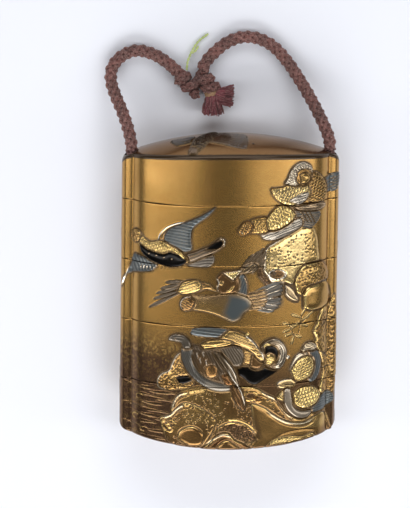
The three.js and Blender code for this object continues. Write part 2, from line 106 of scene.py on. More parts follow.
# The cord, in millimetres.
CORD_R = 1.65
HELD_R = 1.5
LYING_Z = 1.85
EXIT_Y = 38.2
LEFT_ROUTE = [
    (-26.4, EXIT_Y, 11.85), (-26.7, 41, 11.6), (-27.6, 44.6, 10.3), (-28.9, 48.2, 8.2),
    (-30.5, 51.8, 5.8), (-31.6, 55.3, 3.7), (-31.2, 58.8, 2.4), (-28.6, 61.8, 1.9),
    (-24.7, 63.2, 1.75), (-20.6, 62.3, 1.75), (-17.1, 60.3, 1.8), (-14.3, 57.9, 2),
    (-12.2, 56, 2.3),
]
RIGHT_ROUTE = [
    (26.4, EXIT_Y, 11.85), (26.2, 41.2, 11.5), (24.8, 44.8, 10), (22.9, 48.6, 7.8),
    (20.8, 52.3, 5.4), (18.2, 56.4, 3.4), (15.3, 60.5, 2.2), (11.8, 64.2, 1.8),
    (7.7, 66.4, 1.75), (3.6, 66.8, 1.75), (-0.2, 65.6, 1.75), (-3.4, 63.2, 1.8),
    (-5.9, 60.6, 2.1), (-7.3, 58.3, 2.6),
]
THREAD_ROUTE = [(-11.4, 58, 2.6), (-11, 60.4, 1.8), (-9.6, 63.4, 1), (-8, 65.6, 0.6), (-5.6, 67.4, 0.5)]
THREAD_FORK = [(-9.8, 62.4, 1.2), (-8.9, 63.0, 0.9), (-8.2, 64.2, 0.7)]

# The knot, in millimetres: the radius of its cord, and each coil's ends, radius, turns and start. The
# tufts: name, route, node and spread.
KNOT_R = 1.35
KNOT_COILS = (
    ((-13.2, 56.2, 2.9), (-8.2, 52.4, 3.0), 1.35, 2.1, 0.4),
    ((-7.9, 57.6, 2.8), (-4.4, 52.6, 3.0), 1.35, 2.2, 2.6),
)
TIE_COIL = ((-4.9, 52.6, 2.9), (-4.5, 51.4, 2.9), 1.75, 2.8, 0.0)
TUFTS = (
    ("tuft_down", [(-4.8, 52.4, 3.0), (-4.5, 50.2, 3.1), (-4.4, 46.0, 3.1)], "tuft_long", 1.9),
    ("tuft_side", [(-4.4, 52.2, 3.0), (-2.2, 51.2, 3.2), (1.2, 51.0, 3.2)], "tuft_short", 2.0),
)

# The lacquer's powder and the yarns: shares and colours laid over the colours of the settings.
FLECK_SHARE = 0.12
GRAIN_SHARE = 0.04
SHADE_SHARE = 0.93
GRAIN_COLOUR = (0.05, 0.03, 0.012)
FIBRE_COLOUR = (0.6, 0.42, 0.36)
# The core of each cord is painted near black, as shade in the gaps between its strands.
GAP_SHADE_COLOUR = (0.01, 0.004, 0.004)

# The camera: its tilt, turn and roll in degrees, what it aims at in millimetres, and in metres how far
# away it stands and how much it takes in.
CAMERA_TURNS = (13.843, 4.304, -0.787)
AIM = (-6.543, 9.809, 12.0)
CAMERA_AWAY = 1.5
SEEN_HEIGHT = 0.135636
SENSOR = 36.0

# The stage: half the floor's width and each softbox's place and size, in metres, and its watts.
FLOOR_HALF = 4.0
SKY = (0.93, 0.95, 1.0)
SKY_STRENGTH = 0.12
SOFTBOXES = {
    "Left softbox": ((-0.585, -0.05, 0.635), (0.15, 1.0), 2.2),
    "Right softbox": ((0.575, -0.05, 0.665), (0.22, 1.0), 2.35),
    "Foot softbox": ((0.0, -0.80, 0.66), (1.1, 0.5), 9.6),
    "Head softbox": ((0.0, 0.86, 0.70), (1.1, 0.4), 5.0),
}

# The lacquers that the relief is painted with; the ground gold is what shows where all are 0.
# The shade share is the dark lacquer of the cut lines, and is also laid as painted shade.
LACQUERS = ("bright", "slate", "silver", "black", "rust", "earth", "shade")


def tone(**shares):
    """The share of each lacquer in one tone of the relief."""
    return np.array([shares.get(name, 0.0) for name in LACQUERS])[:, None]


GOLD = tone(bright=0.45)
BRIGHT = tone(bright=1)
SLATE = tone(slate=1)
DEEP = tone(slate=0.9, shade=0.5)
STEEL = tone(slate=0.7, silver=0.22)
SILVER = tone(silver=0.75, bright=0.2)
BLACK = tone(black=1)
RUST = tone(rust=0.9)
BRONZE = tone(rust=0.3, earth=0.2)
UMBER = tone(earth=0.8)
OLIVE = tone(slate=0.25, bright=0.2)
# DARK is laid both for dark cut lines and for painted shade.
DARK = tone(shade=1)


# ---------------------------------------------------------------- numbers


def ease(x):
    x = np.clip(x, 0.0, 1.0)
    return x * x * (3 - 2 * x)


def noise(u, v, size, seed=1):
    """Smooth value noise from 0 to 1, with features about size across."""
    table = np.random.default_rng(seed).random((64, 64))
    i, j = np.floor(u / size).astype(int), np.floor(v / size).astype(int)
    a, b = ease(u / size - i), ease(v / size - j)
    near = table[i % 64, j % 64] * (1 - a) + table[(i + 1) % 64, j % 64] * a
    far = table[i % 64, (j + 1) % 64] * (1 - a) + table[(i + 1) % 64, (j + 1) % 64] * a
    return near * (1 - b) + far * b


def grains(u, v, size, seed=1):
    """Distance to the nearest of many scattered seeds, in units of size."""
    table = np.random.default_rng(seed).random((64, 64, 2))
    i, j = np.floor(u / size).astype(int), np.floor(v / size).astype(int)
    best = np.full(np.shape(u), 9.0)
    for di in (-1, 0, 1):
        for dj in (-1, 0, 1):
            spot = table[(i + di) % 64, (j + dj) % 64]
            away = np.hypot(u / size - i - di - spot[..., 0], v / size - j - dj - spot[..., 1])
            best = np.minimum(best, away)
    return best


def scales(p, q, size):
    """Round overlapping scales in rows along p: 0 at a scale's middle, 1 at its free edge."""
    step, reach = 0.6 * size, 0.72 * size
    first = np.ceil((p - reach) / step)
    found = np.full(np.shape(p), 1.0)
    taken = np.zeros(np.shape(p), bool)
    for k in range(3):
        row = first + k
        shifted = q / size - 0.5 * (row % 2)
        side = (shifted - np.round(shifted)) * size
        away = np.hypot(p - row * step, side) / reach
        here = (away < 1) & ~taken
        found[here] = away[here]
        taken |= here
    return found


def within(spots, ring):
    """Which spots lie inside a closed ring, by counting crossings."""
    inside = np.zeros(len(spots), bool)
    x, y = spots[:, 0], spots[:, 1]
    for (x0, y0), (x1, y1) in zip(ring, np.roll(ring, -1, axis=0)):
        if y0 != y1:
            crosses = (y0 > y) != (y1 > y)
            inside ^= crosses & (x < (x1 - x0) * (y - y0) / (y1 - y0) + x0)
    return inside


# ---------------------------------------------------------------- plan of the case


def sharp_plan():
    """The outline from the left runner over the front to the right one and back behind, every 0.02 mm."""
    low, high = RUNNER_X - RUNNER_R, BODY_A
    for _ in range(40):
        x = (low + high) / 2
        on_body = BODY_B * math.sqrt(1 - (x / BODY_A) ** 2)
        on_runner = math.sqrt(max(0.0, RUNNER_R**2 - (x - RUNNER_X) ** 2))
        low, high = (x, high) if on_body > on_runner else (low, x)
    gutter_z = BODY_B * math.sqrt(1 - (low / BODY_A) ** 2)
    runner = np.linspace(0, math.atan2(gutter_z, low - RUNNER_X), 400)
    body = np.linspace(math.atan2(gutter_z / BODY_B, low / BODY_A), math.pi / 2, 1600)
    x = np.r_[RUNNER_X + RUNNER_R * np.cos(runner), BODY_A * np.cos(body)[1:]]
    z = np.r_[RUNNER_R * np.sin(runner), BODY_B * np.sin(body)[1:]]
    front = np.stack([np.r_[-x, x[-2::-1]], np.r_[z, z[-2::-1]]], axis=1)
    back = front[::-1] * (1, -1)
    back[:, 1] = np.maximum(back[:, 1], -MID_Z)
    return front, back


def spread_even(points, step):
    """Points about step apart along a polyline, and the distance along it of each."""
    along = np.r_[0, np.cumsum(np.hypot(*np.diff(points, axis=0).T))]
    at = np.linspace(0, along[-1], int(round(along[-1] / step)) + 1)
    return np.stack([np.interp(at, along, points[:, k]) for k in (0, 1)], axis=1), at


def smoothed(values, step, sigma):
    """A closed row of values after a Gaussian blur."""
    turns = np.fft.fftfreq(len(values), step)
    kernel = np.exp(-2 * (math.pi * turns * sigma) ** 2)
    return np.fft.ifft(np.fft.fft(values, axis=0) * kernel[:, None], axis=0).real


BACK_U = 200.0  # what is added to places along the back, measured from its middle


def plan(pitch, back_pitch):
    """Columns of the outer wall: x and z, outward normal, and place along the face for the relief."""
    step = 0.02
    front, back = sharp_plan()
    front, along_front = spread_even(front, step)
    back, along_back = spread_even(back, step)
    ring = np.r_[front[:-1], back[:-1]]
    eased = smoothed(ring, step, 0.22)
    eased[:, 1] = np.maximum(eased[:, 1], -MID_Z)
    steady = smoothed(ring, step, 0.7)
    tangent = np.roll(steady, -1, axis=0) - np.roll(steady, 1, axis=0)
    normal = np.stack([-tangent[:, 1], tangent[:, 0]], axis=1)
    normal /= np.linalg.norm(normal, axis=1)[:, None]
    u = np.r_[along_front[:-1] - along_front[-1] / 2, BACK_U + along_back[:-1] - along_back[-1] / 2]
    pick, start = [], 0
    for along, wanted in ((along_front, pitch), (along_back, back_pitch)):
        last = len(along) - 1
        pick.append(start + np.round(np.linspace(0, last, int(along[-1] / wanted), endpoint=False)))
        start += last
    pick = np.concatenate(pick).astype(int)
    return eased[pick].T, normal[pick].T, u[pick]


def crown(shape, x, z):
    """Height of the lid's dome or of the underside at a place across the case."""
    end, rise, arch = shape
    down = rise * (z / BODY_B) ** 2 + (arch + rise / BODY_A**2) * x * x
    beyond = np.clip(np.abs(x) - HALF_WIDTH + CORNER_R, 0, CORNER_R)
    corner = CORNER_R - np.sqrt(CORNER_R**2 - beyond**2)
    return end - np.sign(end) * (down + corner)


# ---------------------------------------------------------------- painting the relief


class Canvas:
    """Places on the lacquer with a height and a share of each lacquer, laid on shape over shape."""

    def __init__(self, u, v):
        self.u, self.v = np.ravel(u), np.ravel(v)
        self.h = 0.03 * (noise(self.u, self.v, 6.0, 3) - 0.5)
        self.mix = np.zeros((len(LACQUERS), self.u.size))

    def near(self, points, margin):
        points = np.asarray(points, float)
        low, high = points.min(0) - margin, points.max(0) + margin
        u, v = self.u, self.v
        return np.flatnonzero((u > low[0]) & (u < high[0]) & (v > low[1]) & (v < high[1]))

    def lay(self, at, cover, height, mix):
        """Lays a form over what is there. A height of None leaves the height as it is."""
        if height is not None:
            self.h[at] += cover * (height - self.h[at])
        self.mix[:, at] += cover * (mix - self.mix[:, at])

    def line(self, points, width, lift=0.0, mix=None, fade=0.0):
        """A drawn line: raised or cut by lift, and painted if mix is given. It can fade at its ends."""
        points = np.asarray(points, float)
        at = self.near(points, width * 2)
        if not at.size:
            return
        u, v = self.u[at], self.v[at]
        best, place = np.full(at.size, 1e9), np.zeros(at.size)
        for k in range(len(points) - 1):
            a, d = points[k], points[k + 1] - points[k]
            t = np.clip(((u - a[0]) * d[0] + (v - a[1]) * d[1]) / max(d @ d, 1e-9), 0, 1)
            away = np.hypot(u - a[0] - t * d[0], v - a[1] - t * d[1])
            closer = away < best
            best = np.where(closer, away, best)
            place = np.where(closer, (k + t) / (len(points) - 1), place)
        cover = ease((width - best) / (0.6 * width))
        if fade:
            cover = cover * ease(np.minimum(place, 1 - place) / fade)
        self.h[at] += lift * cover
        if mix is not None:
            self.mix[:, at] += cover * (mix - self.mix[:, at])


def curve(points, n):
    """A smooth line through a few places, with n steps from each to the next."""
    p = np.asarray(points, float)
    p = np.vstack([2 * p[0] - p[1], p, 2 * p[-1] - p[-2]])
    out = []
    for k in range(1, len(p) - 2):
        for t in np.linspace(0, 1, n, endpoint=False):
            out.append(0.5 * (2 * p[k] + (p[k + 1] - p[k - 1]) * t
                              + (2 * p[k - 1] - 5 * p[k] + 4 * p[k + 1] - p[k + 2]) * t**2
                              + (3 * p[k] - p[k - 1] - 3 * p[k + 1] + p[k + 2]) * t**3))
    out.append(p[-2])
    return np.array(out)


def local(c, at, a, b):
    """Places as distance along the line from a to b and across it."""
    a, d = np.asarray(a, float), np.subtract(b, a).astype(float)
    length = np.hypot(*d)
    d /= length
    u, v = c.u[at] - a[0], c.v[at] - a[1]
    return u * d[0] + v * d[1], v * d[0] - u * d[1], length


def leaf(c, a, b, width, rise, body, rim, barbs=0.03, outline=0.8):
    """One feather from its root a to its tip b, with a shaft, barbs, a paler rim and a dark outline, partly
    painted shade.
    """
    at = c.near([a, b], width)
    if not at.size:
        return
    p, q, length = local(c, at, a, b)
    t = p / length
    round_off = np.sqrt(np.clip(1 - ((t - 0.66) / 0.34) ** 2, 0, 1))
    half = width / 2 * np.where(t > 0.66, round_off, 0.6 + 0.4 * ease(t / 0.66))
    side = np.abs(q)
    gap = half - side
    grow = np.minimum(gap, np.minimum(p + 0.05, (length - p) * 1.5))
    seen = ease((grow + 0.16) / 0.16) * (t > -0.1)
    # The dark border round the feather is partly its drawn outline and partly painted shade on the feather
    # beneath.
    if outline:
        c.lay(at, seen * outline, None, DARK)
    cover = ease(grow / 0.1) * (t > -0.02)
    share = side / np.maximum(half, 0.05)
    barb = np.sin(2 * math.pi * (p - 0.9 * side) / 0.5)
    height = rise * (1 - 0.35 * share**2) + barbs * barb - 0.05 * np.exp(-((side / 0.09) ** 2))
    edge = ease((share - 0.6) / 0.25) * ease((t - 0.25) / 0.3)
    mix = body * (1 - edge) + rim * edge
    mix = mix + DARK * 0.35 * np.exp(-((side / 0.1) ** 2)) + DARK * 0.14 * (1 - barb)
    c.lay(at, cover, height, mix)


def bend(tips, t):
    return [(1 - t) ** 2 * tips[0][k] + 2 * t * (1 - t) * tips[1][k] + t * t * tips[2][k] for k in (0, 1)]


def wing(c, arm, tips, feathers, rise, body, rim, covert=GOLD, rows=3, reach=0.5):
    """A wing or tail: long feathers from the arm to the curve of the tips, then rows of short ones."""
    root, wrist = np.array(arm, float)
    if not c.near([root, wrist, *tips], 2.0).size:
        return

    def place(s, t):
        base = root + (wrist - root) * s
        return base + (np.array(bend(tips, 1 - s)) - base) * t

    span = np.hypot(*np.subtract(tips[0], tips[2]))
    wide = max(0.8, 1.75 * span / feathers)
    for k in range(feathers):
        s = (k + 0.5) / feathers
        leaf(c, place(s, 0.08), place(s, 1.0), wide, rise * (0.75 + 0.25 * s), body, rim)
    for r in range(rows):
        count = feathers - 2 + r
        start = reach * (rows - 1 - r) / rows
        for k in range(count):
            s = (k + 0.5) / count
            short = 1.5 * np.hypot(*(place(0.9, start) - place(0.1, start))) / count
            leaf(c, place(s, start), place(s, start + reach / rows * 1.35), max(short, 0.7),
                 rise + 0.05 + 0.05 * r, covert, rim if covert[1] > 0.5 else BRIGHT, barbs=0.02)


def inside_depth(c, points, smooth=True):
    """The places near a closed outline and how deep inside it each lies, in millimetres."""
    ring = np.asarray(points, float)
    if smooth:
        n = len(ring)
        ring = curve(ring[[n - 2, n - 1, *range(n), 0, 1]], 5)[10:-11]
    at = c.near(ring, 1.0)
    if not at.size:
        return at, None
    u, v = c.u[at], c.v[at]
    best = np.full(at.size, 1e9)
    for a, b in zip(ring, np.roll(ring, -1, axis=0)):
        d = b - a
        t = np.clip(((u - a[0]) * d[0] + (v - a[1]) * d[1]) / max(d @ d, 1e-9), 0, 1)
        best = np.minimum(best, np.hypot(u - a[0] - t * d[0], v - a[1] - t * d[1]))
    return at, np.where(within(np.stack([u, v], axis=1), ring), best, -best)


def scaled_skin(p, q, size, mix, line):
    s = scales(p, q, size)
    crest = ease((s - 0.2) / 0.4) * (1 - ease((s - 0.72) / 0.1))
    # The dark line at each scale's free edge is partly its drawn outline and partly painted shade where the
    # scales overlap.
    dark = ease((s - 0.74) / 0.14)
    return 0.12 * crest - 0.1 * dark, mix * (1 - 0.6 * crest) + line * 0.6 * crest + DARK * 0.8 * dark


def stroked_skin(p, q, size, mix, line):
    wave = np.sin(2 * math.pi * (q + 0.25 * noise(p, q, 2.0, 61)) / size)
    light, dark = ease((wave - 0.6) / 0.3) * noise(p, q, 1.4, 60), ease((-wave - 0.5) / 0.35)
    return 0.04 * wave, mix * (1 - 0.6 * light) + line * 0.6 * light + DARK * 0.6 * dark


def grained_skin(p, q, size, mix, line):
    pits = ease((0.42 - grains(p, q, size, 62)) / 0.22)
    lump = noise(p, q, 2.2, 63)
    return 0.2 * (lump - 0.5) - 0.07 * pits, mix + (line - mix) * 0.3 * (1 - pits) * lump + DARK * 0.55 * pits


def spotted_skin(p, q, size, mix, line):
    spots = ease((0.26 - grains(p, q, 1.5 * size, 64)) / 0.08) * ease((noise(p, q, 2.6, 65) - 0.42) / 0.06)
    lump = noise(p, q, 3.6, 66)
    fine = noise(p, q, 0.5, 67)
    # Painted highlight: the higher lumps are laid over with gold.
    lump_highlight = 0.45 * ease((lump - 0.3) / 0.6)
    return 0.15 * (lump - 0.5) + 0.015 * fine - 0.07 * spots, mix + (GOLD - mix) * lump_highlight + DARK * 0.9 * spots


def plain_skin(p, q, size, mix, line):
    lump = noise(p, q, 2.4, 68)
    return 0.06 * (lump - 0.5), mix + DARK * 0.15 * (1 - lump)


SKINS = {"scales": scaled_skin, "strokes": stroked_skin, "grain": grained_skin, "spots": spotted_skin,
         "plain": plain_skin}


def form(c, points, rise, mix, skin="plain", size=0.75, heading=(1, 0), line=BRIGHT, soft=1.3, edge=0.26,
         rim=None, rim_wide=0.26, rim_from=None, outline=0.9, groove=0.42, smooth=True):
    """A raised form over a closed outline, a dark groove and painted shade round it, a skin and perhaps a
    pale rim.
    """
    at, depth = inside_depth(c, points, smooth)
    if not at.size:
        return
    heading = np.asarray(heading, float) / np.hypot(*heading)
    u, v = c.u[at], c.v[at]
    p, q = u * heading[0] + v * heading[1], v * heading[0] - u * heading[1]
    if outline:
        # Painted shade: a wide soft brown halo round the foot of the form, then the dark cut line of its
        # outline.
        c.lay(at, ease((depth + 0.85) / 0.8) * 0.5 * outline, None, UMBER + DARK * 0.35)
        c.lay(at, ease((depth + groove) / 0.3) * outline, c.h[at] * 0.5, DARK)
    swell = np.sqrt(np.clip(1 - (1 - np.clip(depth / soft, 0, 1)) ** 2, 0, 1))
    extra, here = SKINS[skin](p, q, size, mix, line)
    height = edge + (rise - edge) * swell + extra * ease(depth / 0.3)
    if rim is not None:
        pale = np.exp(-(((depth - 0.6 * rim_wide) / (0.5 * rim_wide)) ** 2))
        if rim_from is not None:
            middle = np.mean(np.asarray(points, float), axis=0)
            side = ((u - middle[0]) * rim_from[0] + (v - middle[1]) * rim_from[1]) / np.hypot(*rim_from)
            pale = pale * ease(side / 1.2 + 0.3)
        here = here + (rim - here) * pale
        height = height + 0.07 * pale
    c.lay(at, ease(depth / 0.14), height, np.clip(here, 0, 1))


def wash(c, points, mix, share=1.0, soft=1.5):
    """Colour laid over a form without changing its height, fading out over its edge."""
    at, depth = inside_depth(c, points)
    if at.size:
        c.lay(at, ease((depth + 0.3 * soft) / soft) * share, None, mix)


def dot(c, at, radius, lift, mix):
    near = c.near([at], radius + 0.3)
    away = np.hypot(c.u[near] - at[0], c.v[near] - at[1])
    cover = ease((radius - away) / 0.12)
    c.h[near] += lift * cover * np.sqrt(np.clip(1 - (away / radius) ** 2, 0, 1))
    c.mix[:, near] += cover * (mix - c.mix[:, near])


def hole(c, at, size, turn, rim=SILVER):
    """A hollow in a rock with a raised pale rim."""
    near = c.near([at], max(size) + 1)
    if not near.size:
        return
    u, v = c.u[near] - at[0], c.v[near] - at[1]
    p = u * math.cos(turn) + v * math.sin(turn)
    q = v * math.cos(turn) - u * math.sin(turn)
    rho = np.hypot(p / size[0], q / size[1])
    mean = 0.5 * (size[0] + size[1])
    c.lay(near, ease((1.0 - rho) * mean / 0.25 + 0.5), c.h[near] - 0.35, UMBER)
    ring = np.exp(-(((rho - 1.1) * mean / 0.28) ** 2))
    c.h[near] += 0.14 * ring
    c.mix[:, near] += ring * (rim - c.mix[:, near])


# The design, from what is furthest away to what is nearest: places along and across the front.
def flier_upper_left(c):
    form(c, [(-27.4, 11.2), (-29, 8.4), (-30.4, 5), (-32, 1.4), (-31.4, 4.2), (-29, 5.6), (-26.6, 6.2),
        (-24, 6.6), (-21.8, 7.2), (-20.4, 8.8), (-21, 10.4)], 0.5, SLATE, "strokes", 0.95, (0.45, -1),
        STEEL, soft=1.2)
    c.line(curve([(-29.4, 7.6), (-30.8, 4.4), (-31.7, 1.8)], 5), 0.22, 0.08, SILVER, fade=0.2)
    for k in range(5):
        c.line([(-24.8 + 0.9 * k, 8.8 - 0.1 * k), (-25.2 + 0.95 * k, 7.1 + 0.06 * k)], 0.16, 0.06, SILVER,
            fade=0.35)
    form(c, [(-17.6, 14.4), (-18.4, 16.8), (-16.8, 19.2), (-13, 21), (-8.8, 22.9), (-4.8, 25.4), (-6.6, 23),
        (-9.2, 21), (-10.8, 19.2), (-11.1, 16.4), (-11, 13.6), (-14, 13)], 0.55, SLATE, "strokes", 0.85,
        (1, -0.12), STEEL, soft=1.4)
    form(c, [(-12.6, 10.6), (-9, 11.6), (-5.4, 12.4), (-5, 10.6), (-6.4, 9.2), (-9.4, 9), (-12.4, 9.4)],
        0.42, tone(slate=0.85, rust=0.1), "strokes", 0.75, (1, 0.12), STEEL, soft=0.8, rim=STEEL,
        rim_from=(1, -0.4))
    form(c, [(-12.8, 12.2), (-9.4, 13.6), (-6, 15.2), (-3.8, 16.9), (-2.2, 16.7), (-2.4, 15), (-5, 13),
        (-8.4, 11.6), (-12, 10.2)], 0.52, tone(slate=0.7, rust=0.1, shade=0.3), "strokes", 0.8, (1, 0.42),
        BRONZE, soft=0.9)
    form(c, [(-7.4, 13.9), (-4.6, 16), (-2.9, 16.4), (-2.9, 15), (-5, 13.8)], 0.5, BLACK, outline=0.2,
        edge=0.4)
    c.line(curve([(-3.4, 16.9), (-2.3, 16.5), (-2.4, 15)], 5), 0.24, 0.06, SILVER)
    form(c, [(-25.9, 17.1), (-24.2, 15.9), (-22.2, 15.1), (-20.2, 15.6), (-18.8, 15.6), (-16.8, 14.6),
        (-14, 13.2), (-12, 11.2), (-12.6, 9.8), (-18, 10.4), (-22, 11.2), (-25.2, 13), (-26.6, 14.8)], 0.85,
        GOLD, "scales", 1.0, (1, -0.35), BRIGHT, soft=1.8)
    form(c, [(-25.2, 14.2), (-25, 12.2), (-22.8, 10.4), (-19.4, 9.2), (-16, 8.6), (-13.2, 9.4), (-12.2, 11),
        (-14, 12.2), (-16.6, 12.9), (-18.4, 12.2), (-21, 12.6), (-23.2, 13.1)], 0.98, BLACK, soft=1.8,
        outline=0.6, edge=0.6)
    for k in range(4):
        dot(c, (-22.4 + 2.1 * k, 12 - 0.35 * k), 0.24, 0.03, STEEL)
    form(c, [(-29.3, 15.5), (-28.7, 17.1), (-27, 17.9), (-25.4, 16.8), (-25.8, 14.8), (-27.4, 14.2),
        (-28.4, 14.6)], 0.85, BRONZE, "scales", 0.85, (1, -0.3), GOLD, soft=1.0, rim=GOLD,
        rim_from=(0.3, 1))
    dot(c, (-27.5, 16.2), 0.3, 0.05, BLACK)
    c.line(curve([(-17.4, 14.2), (-15, 12.9), (-12.2, 10.9)], 6), 0.22, 0.1, BRIGHT, fade=0.15)
    c.line(curve([(-20.2, 15.2), (-19.7, 17.2), (-18, 19.2), (-15.6, 20.4), (-12.6, 21.2)], 6), 0.26, 0.12,
        SILVER, fade=0.12)
    c.line(curve([(-19.3, 15.6), (-18.7, 17.6), (-16.8, 19.4)], 6), 0.24, -0.05, DARK, fade=0.2)
    for k in range(6):
        c.line([(-18.6 + 0.9 * k, 8.9), (-19.2 + 1.1 * k, 7.6 + 0.1 * k)], 0.09, -0.03, DARK)


def flier_middle(c):
    for x, y, across, up in ((1.6, 8, 4, 4.6), (2.4, 8.2, 4.6, 5.2), (3.4, 8, 4.9, 6.2),
            (4.6, 7.8, 4.2, 5.4), (5.2, 7.4, 3.4, 3.6)):
        leaf(c, (x, y), (x + across, y + up), 1.15, 0.42, tone(slate=0.5, shade=0.5), STEEL)
    form(c, [(0.4, 7.6), (2.4, 9), (4.2, 9.8), (6, 10), (6.8, 8.8), (5.6, 7.6), (3.8, 7.4), (1.8, 6.8)],
        0.55, tone(slate=0.6, shade=0.4), "strokes", 0.7, (0.8, 0.6), GOLD, soft=0.9)
    form(c, [(0.5, 6), (2.2, 7.2), (3.4, 6.6), (4, 3.8), (3.7, 1), (2, 1.4), (0.4, 2.4), (1, 4.2)], 0.55,
        SLATE, "strokes", 0.7, (0.3, 1), STEEL, soft=0.9)
    c.line(curve([(2.9, 6.8), (3.8, 4.4), (3.9, 1.6)], 5), 0.2, 0.08, tone(silver=0.4, rust=0.2), fade=0.15)
    form(c, [(-4.3, 6), (-2.8, 7.6), (0, 7.4), (1.6, 5.4), (1, 2.4), (-2.6, 1.8), (-4, 3.4)], 0.55,
        tone(rust=0.55, shade=0.5), soft=1.0)
    c.line(curve([(-2, 2.1), (-0.4, 3.2), (0.4, 4.3)], 5), 0.42, 0.1, GOLD, fade=0.3)
    dot(c, (-3, 4.9), 0.7, 0.1, OLIVE)
    form(c, [(-2.9, 7.8), (2.6, 8.4), (0.1, 5.6)], 0.65, BRIGHT, "strokes", 0.6, (0.2, 1), SILVER, soft=0.9,
        rim=SILVER, smooth=False)
    c.line(curve([(-4.4, 6.2), (-3.7, 5), (-4, 3.6), (-3.9, 2)], 5), 0.28, 0.1, SILVER, fade=0.15)
    for x, y, tip_x, tip_y in ((-11, 5, -18, 4.4), (-12.4, 4.6, -19.4, 2.4), (-12.8, 3.8, -20.6, 1),
            (-13, 2.8, -21.4, -0.6), (-13.6, 2, -22.7, -3)):
        leaf(c, (x, y), (tip_x, tip_y), 1.0, 0.42, tone(slate=0.7, shade=0.35), SILVER, outline=1.0)
    form(c, [(-9.8, 2.2), (-7, 3), (-4.2, 2.6), (-5.8, 4.2), (-8.6, 5), (-10.6, 4.6)], 0.5,
        tone(earth=0.5, bright=0.1), "strokes", 0.7, (-1, -0.1), GOLD, soft=0.9)
    form(c, [(-14.6, 2.2), (-13, 1.4), (-10, 2), (-8.4, 3.2), (-8.9, 5.2), (-11.4, 5.4), (-13.9, 4.3)],
        0.65, tone(bright=0.5), "strokes", 0.75, (-1, -0.35), BRIGHT, soft=1.2, rim=OLIVE, rim_from=(0, 1))
    wing(c, [(4.6, -2), (4.6, -0.2)], [(13.2, 0.6), (13.8, -1.8), (10.6, -3.3)], 4, 0.42, SLATE, STEEL,
        rows=0)
    wing(c, [(4.4, -0.4), (4.4, 1.6)], [(12.4, 5), (14.8, 3.4), (12.9, 0.8)], 4, 0.45, SLATE, STEEL, rows=0)
    form(c, [(3.6, 1.6), (6.6, 2.8), (9, 3.2), (9.6, 1), (9, -1.4), (7.4, -2.6), (4, -2.4)], 0.5,
        tone(slate=0.4, earth=0.3), "strokes", 0.85, (1, 0.12), GOLD, soft=1.0, outline=0)
    wash(c, [(8, 3.4), (14, 5.4), (14, 0.8), (13.6, -2), (10.6, -3.6), (7, -3), (9.4, 0)],
        tone(slate=0.85, shade=0.45), 0.7)
    for x, y in ((12.2, 4), (13, 2.4), (11.6, 0.4), (12.4, -1.6), (11.2, -3)):
        c.line(curve([(x - 4.6, 0.5 * y), (x - 2, 0.85 * y), (x, y)], 5), 0.13, 0.05, SILVER, fade=0.3)
    c.line([(10.6, 0.5), (13.6, 0.9)], 0.3, -0.1, DARK, fade=0.2)
    form(c, [(-11.4, 1.3), (-8, 1.1), (-4, 1.5), (0, 1.8), (3.2, 1.3), (5, -0.4), (4.9, -2.2), (3.2, -3.4),
        (2.2, -4.9), (0.4, -5.7), (-1.8, -5), (-4.6, -3.8), (-8, -3), (-11, -2.6), (-13, -1)], 0.5,
        tone(slate=0.3, bright=0.05), soft=1.5, edge=0.3)
    wash(c, [(-12, 1.6), (-6, 1.8), (2, 2.2), (0, 0.4), (-6, 0), (-12, -0.4)], tone(slate=0.45, earth=0.35),
        0.7, 1.6)
    wash(c, [(-9, -0.6), (-5, -0.8), (-2.4, -1.6), (-3.4, -4), (-7, -3), (-9.6, -2.4)], tone(bright=0.12),
        0.7, 1.6)
    for x, y in ((-8.6, 0.6), (-7.2, -0.7), (-5.8, 0.4), (-4.6, -1.6), (-3, 0.3), (-6.2, -2.2),
            (-2.4, -2.6)):
        c.line([(x - 0.9, y + 0.15), (x + 0.9, y - 0.15)], 0.12, 0.03, OLIVE, fade=0.35)
    wash(c, [(-1.2, 1.4), (1.4, 1.7), (4.3, 0.6), (5.2, -1.8), (3.4, -3.6), (2.2, -5.2), (0.3, -6.2),
        (-1.4, -5.4), (-2.8, -2.6)], tone(slate=1.0), 1.0, 2.4)
    form(c, [(-11.2, 1.1), (-13, 0.7), (-14, -1), (-13.4, -2.9), (-11.6, -3), (-10.2, -1.6), (-10, 0.2)],
        0.8, tone(rust=0.3, earth=0.5), "strokes", 0.7, (1, -0.5), GOLD, soft=1.2, rim=SILVER, rim_wide=0.4,
        rim_from=(-1, 0.6))
    dot(c, (-12.2, -1.1), 0.3, 0.05, BLACK)


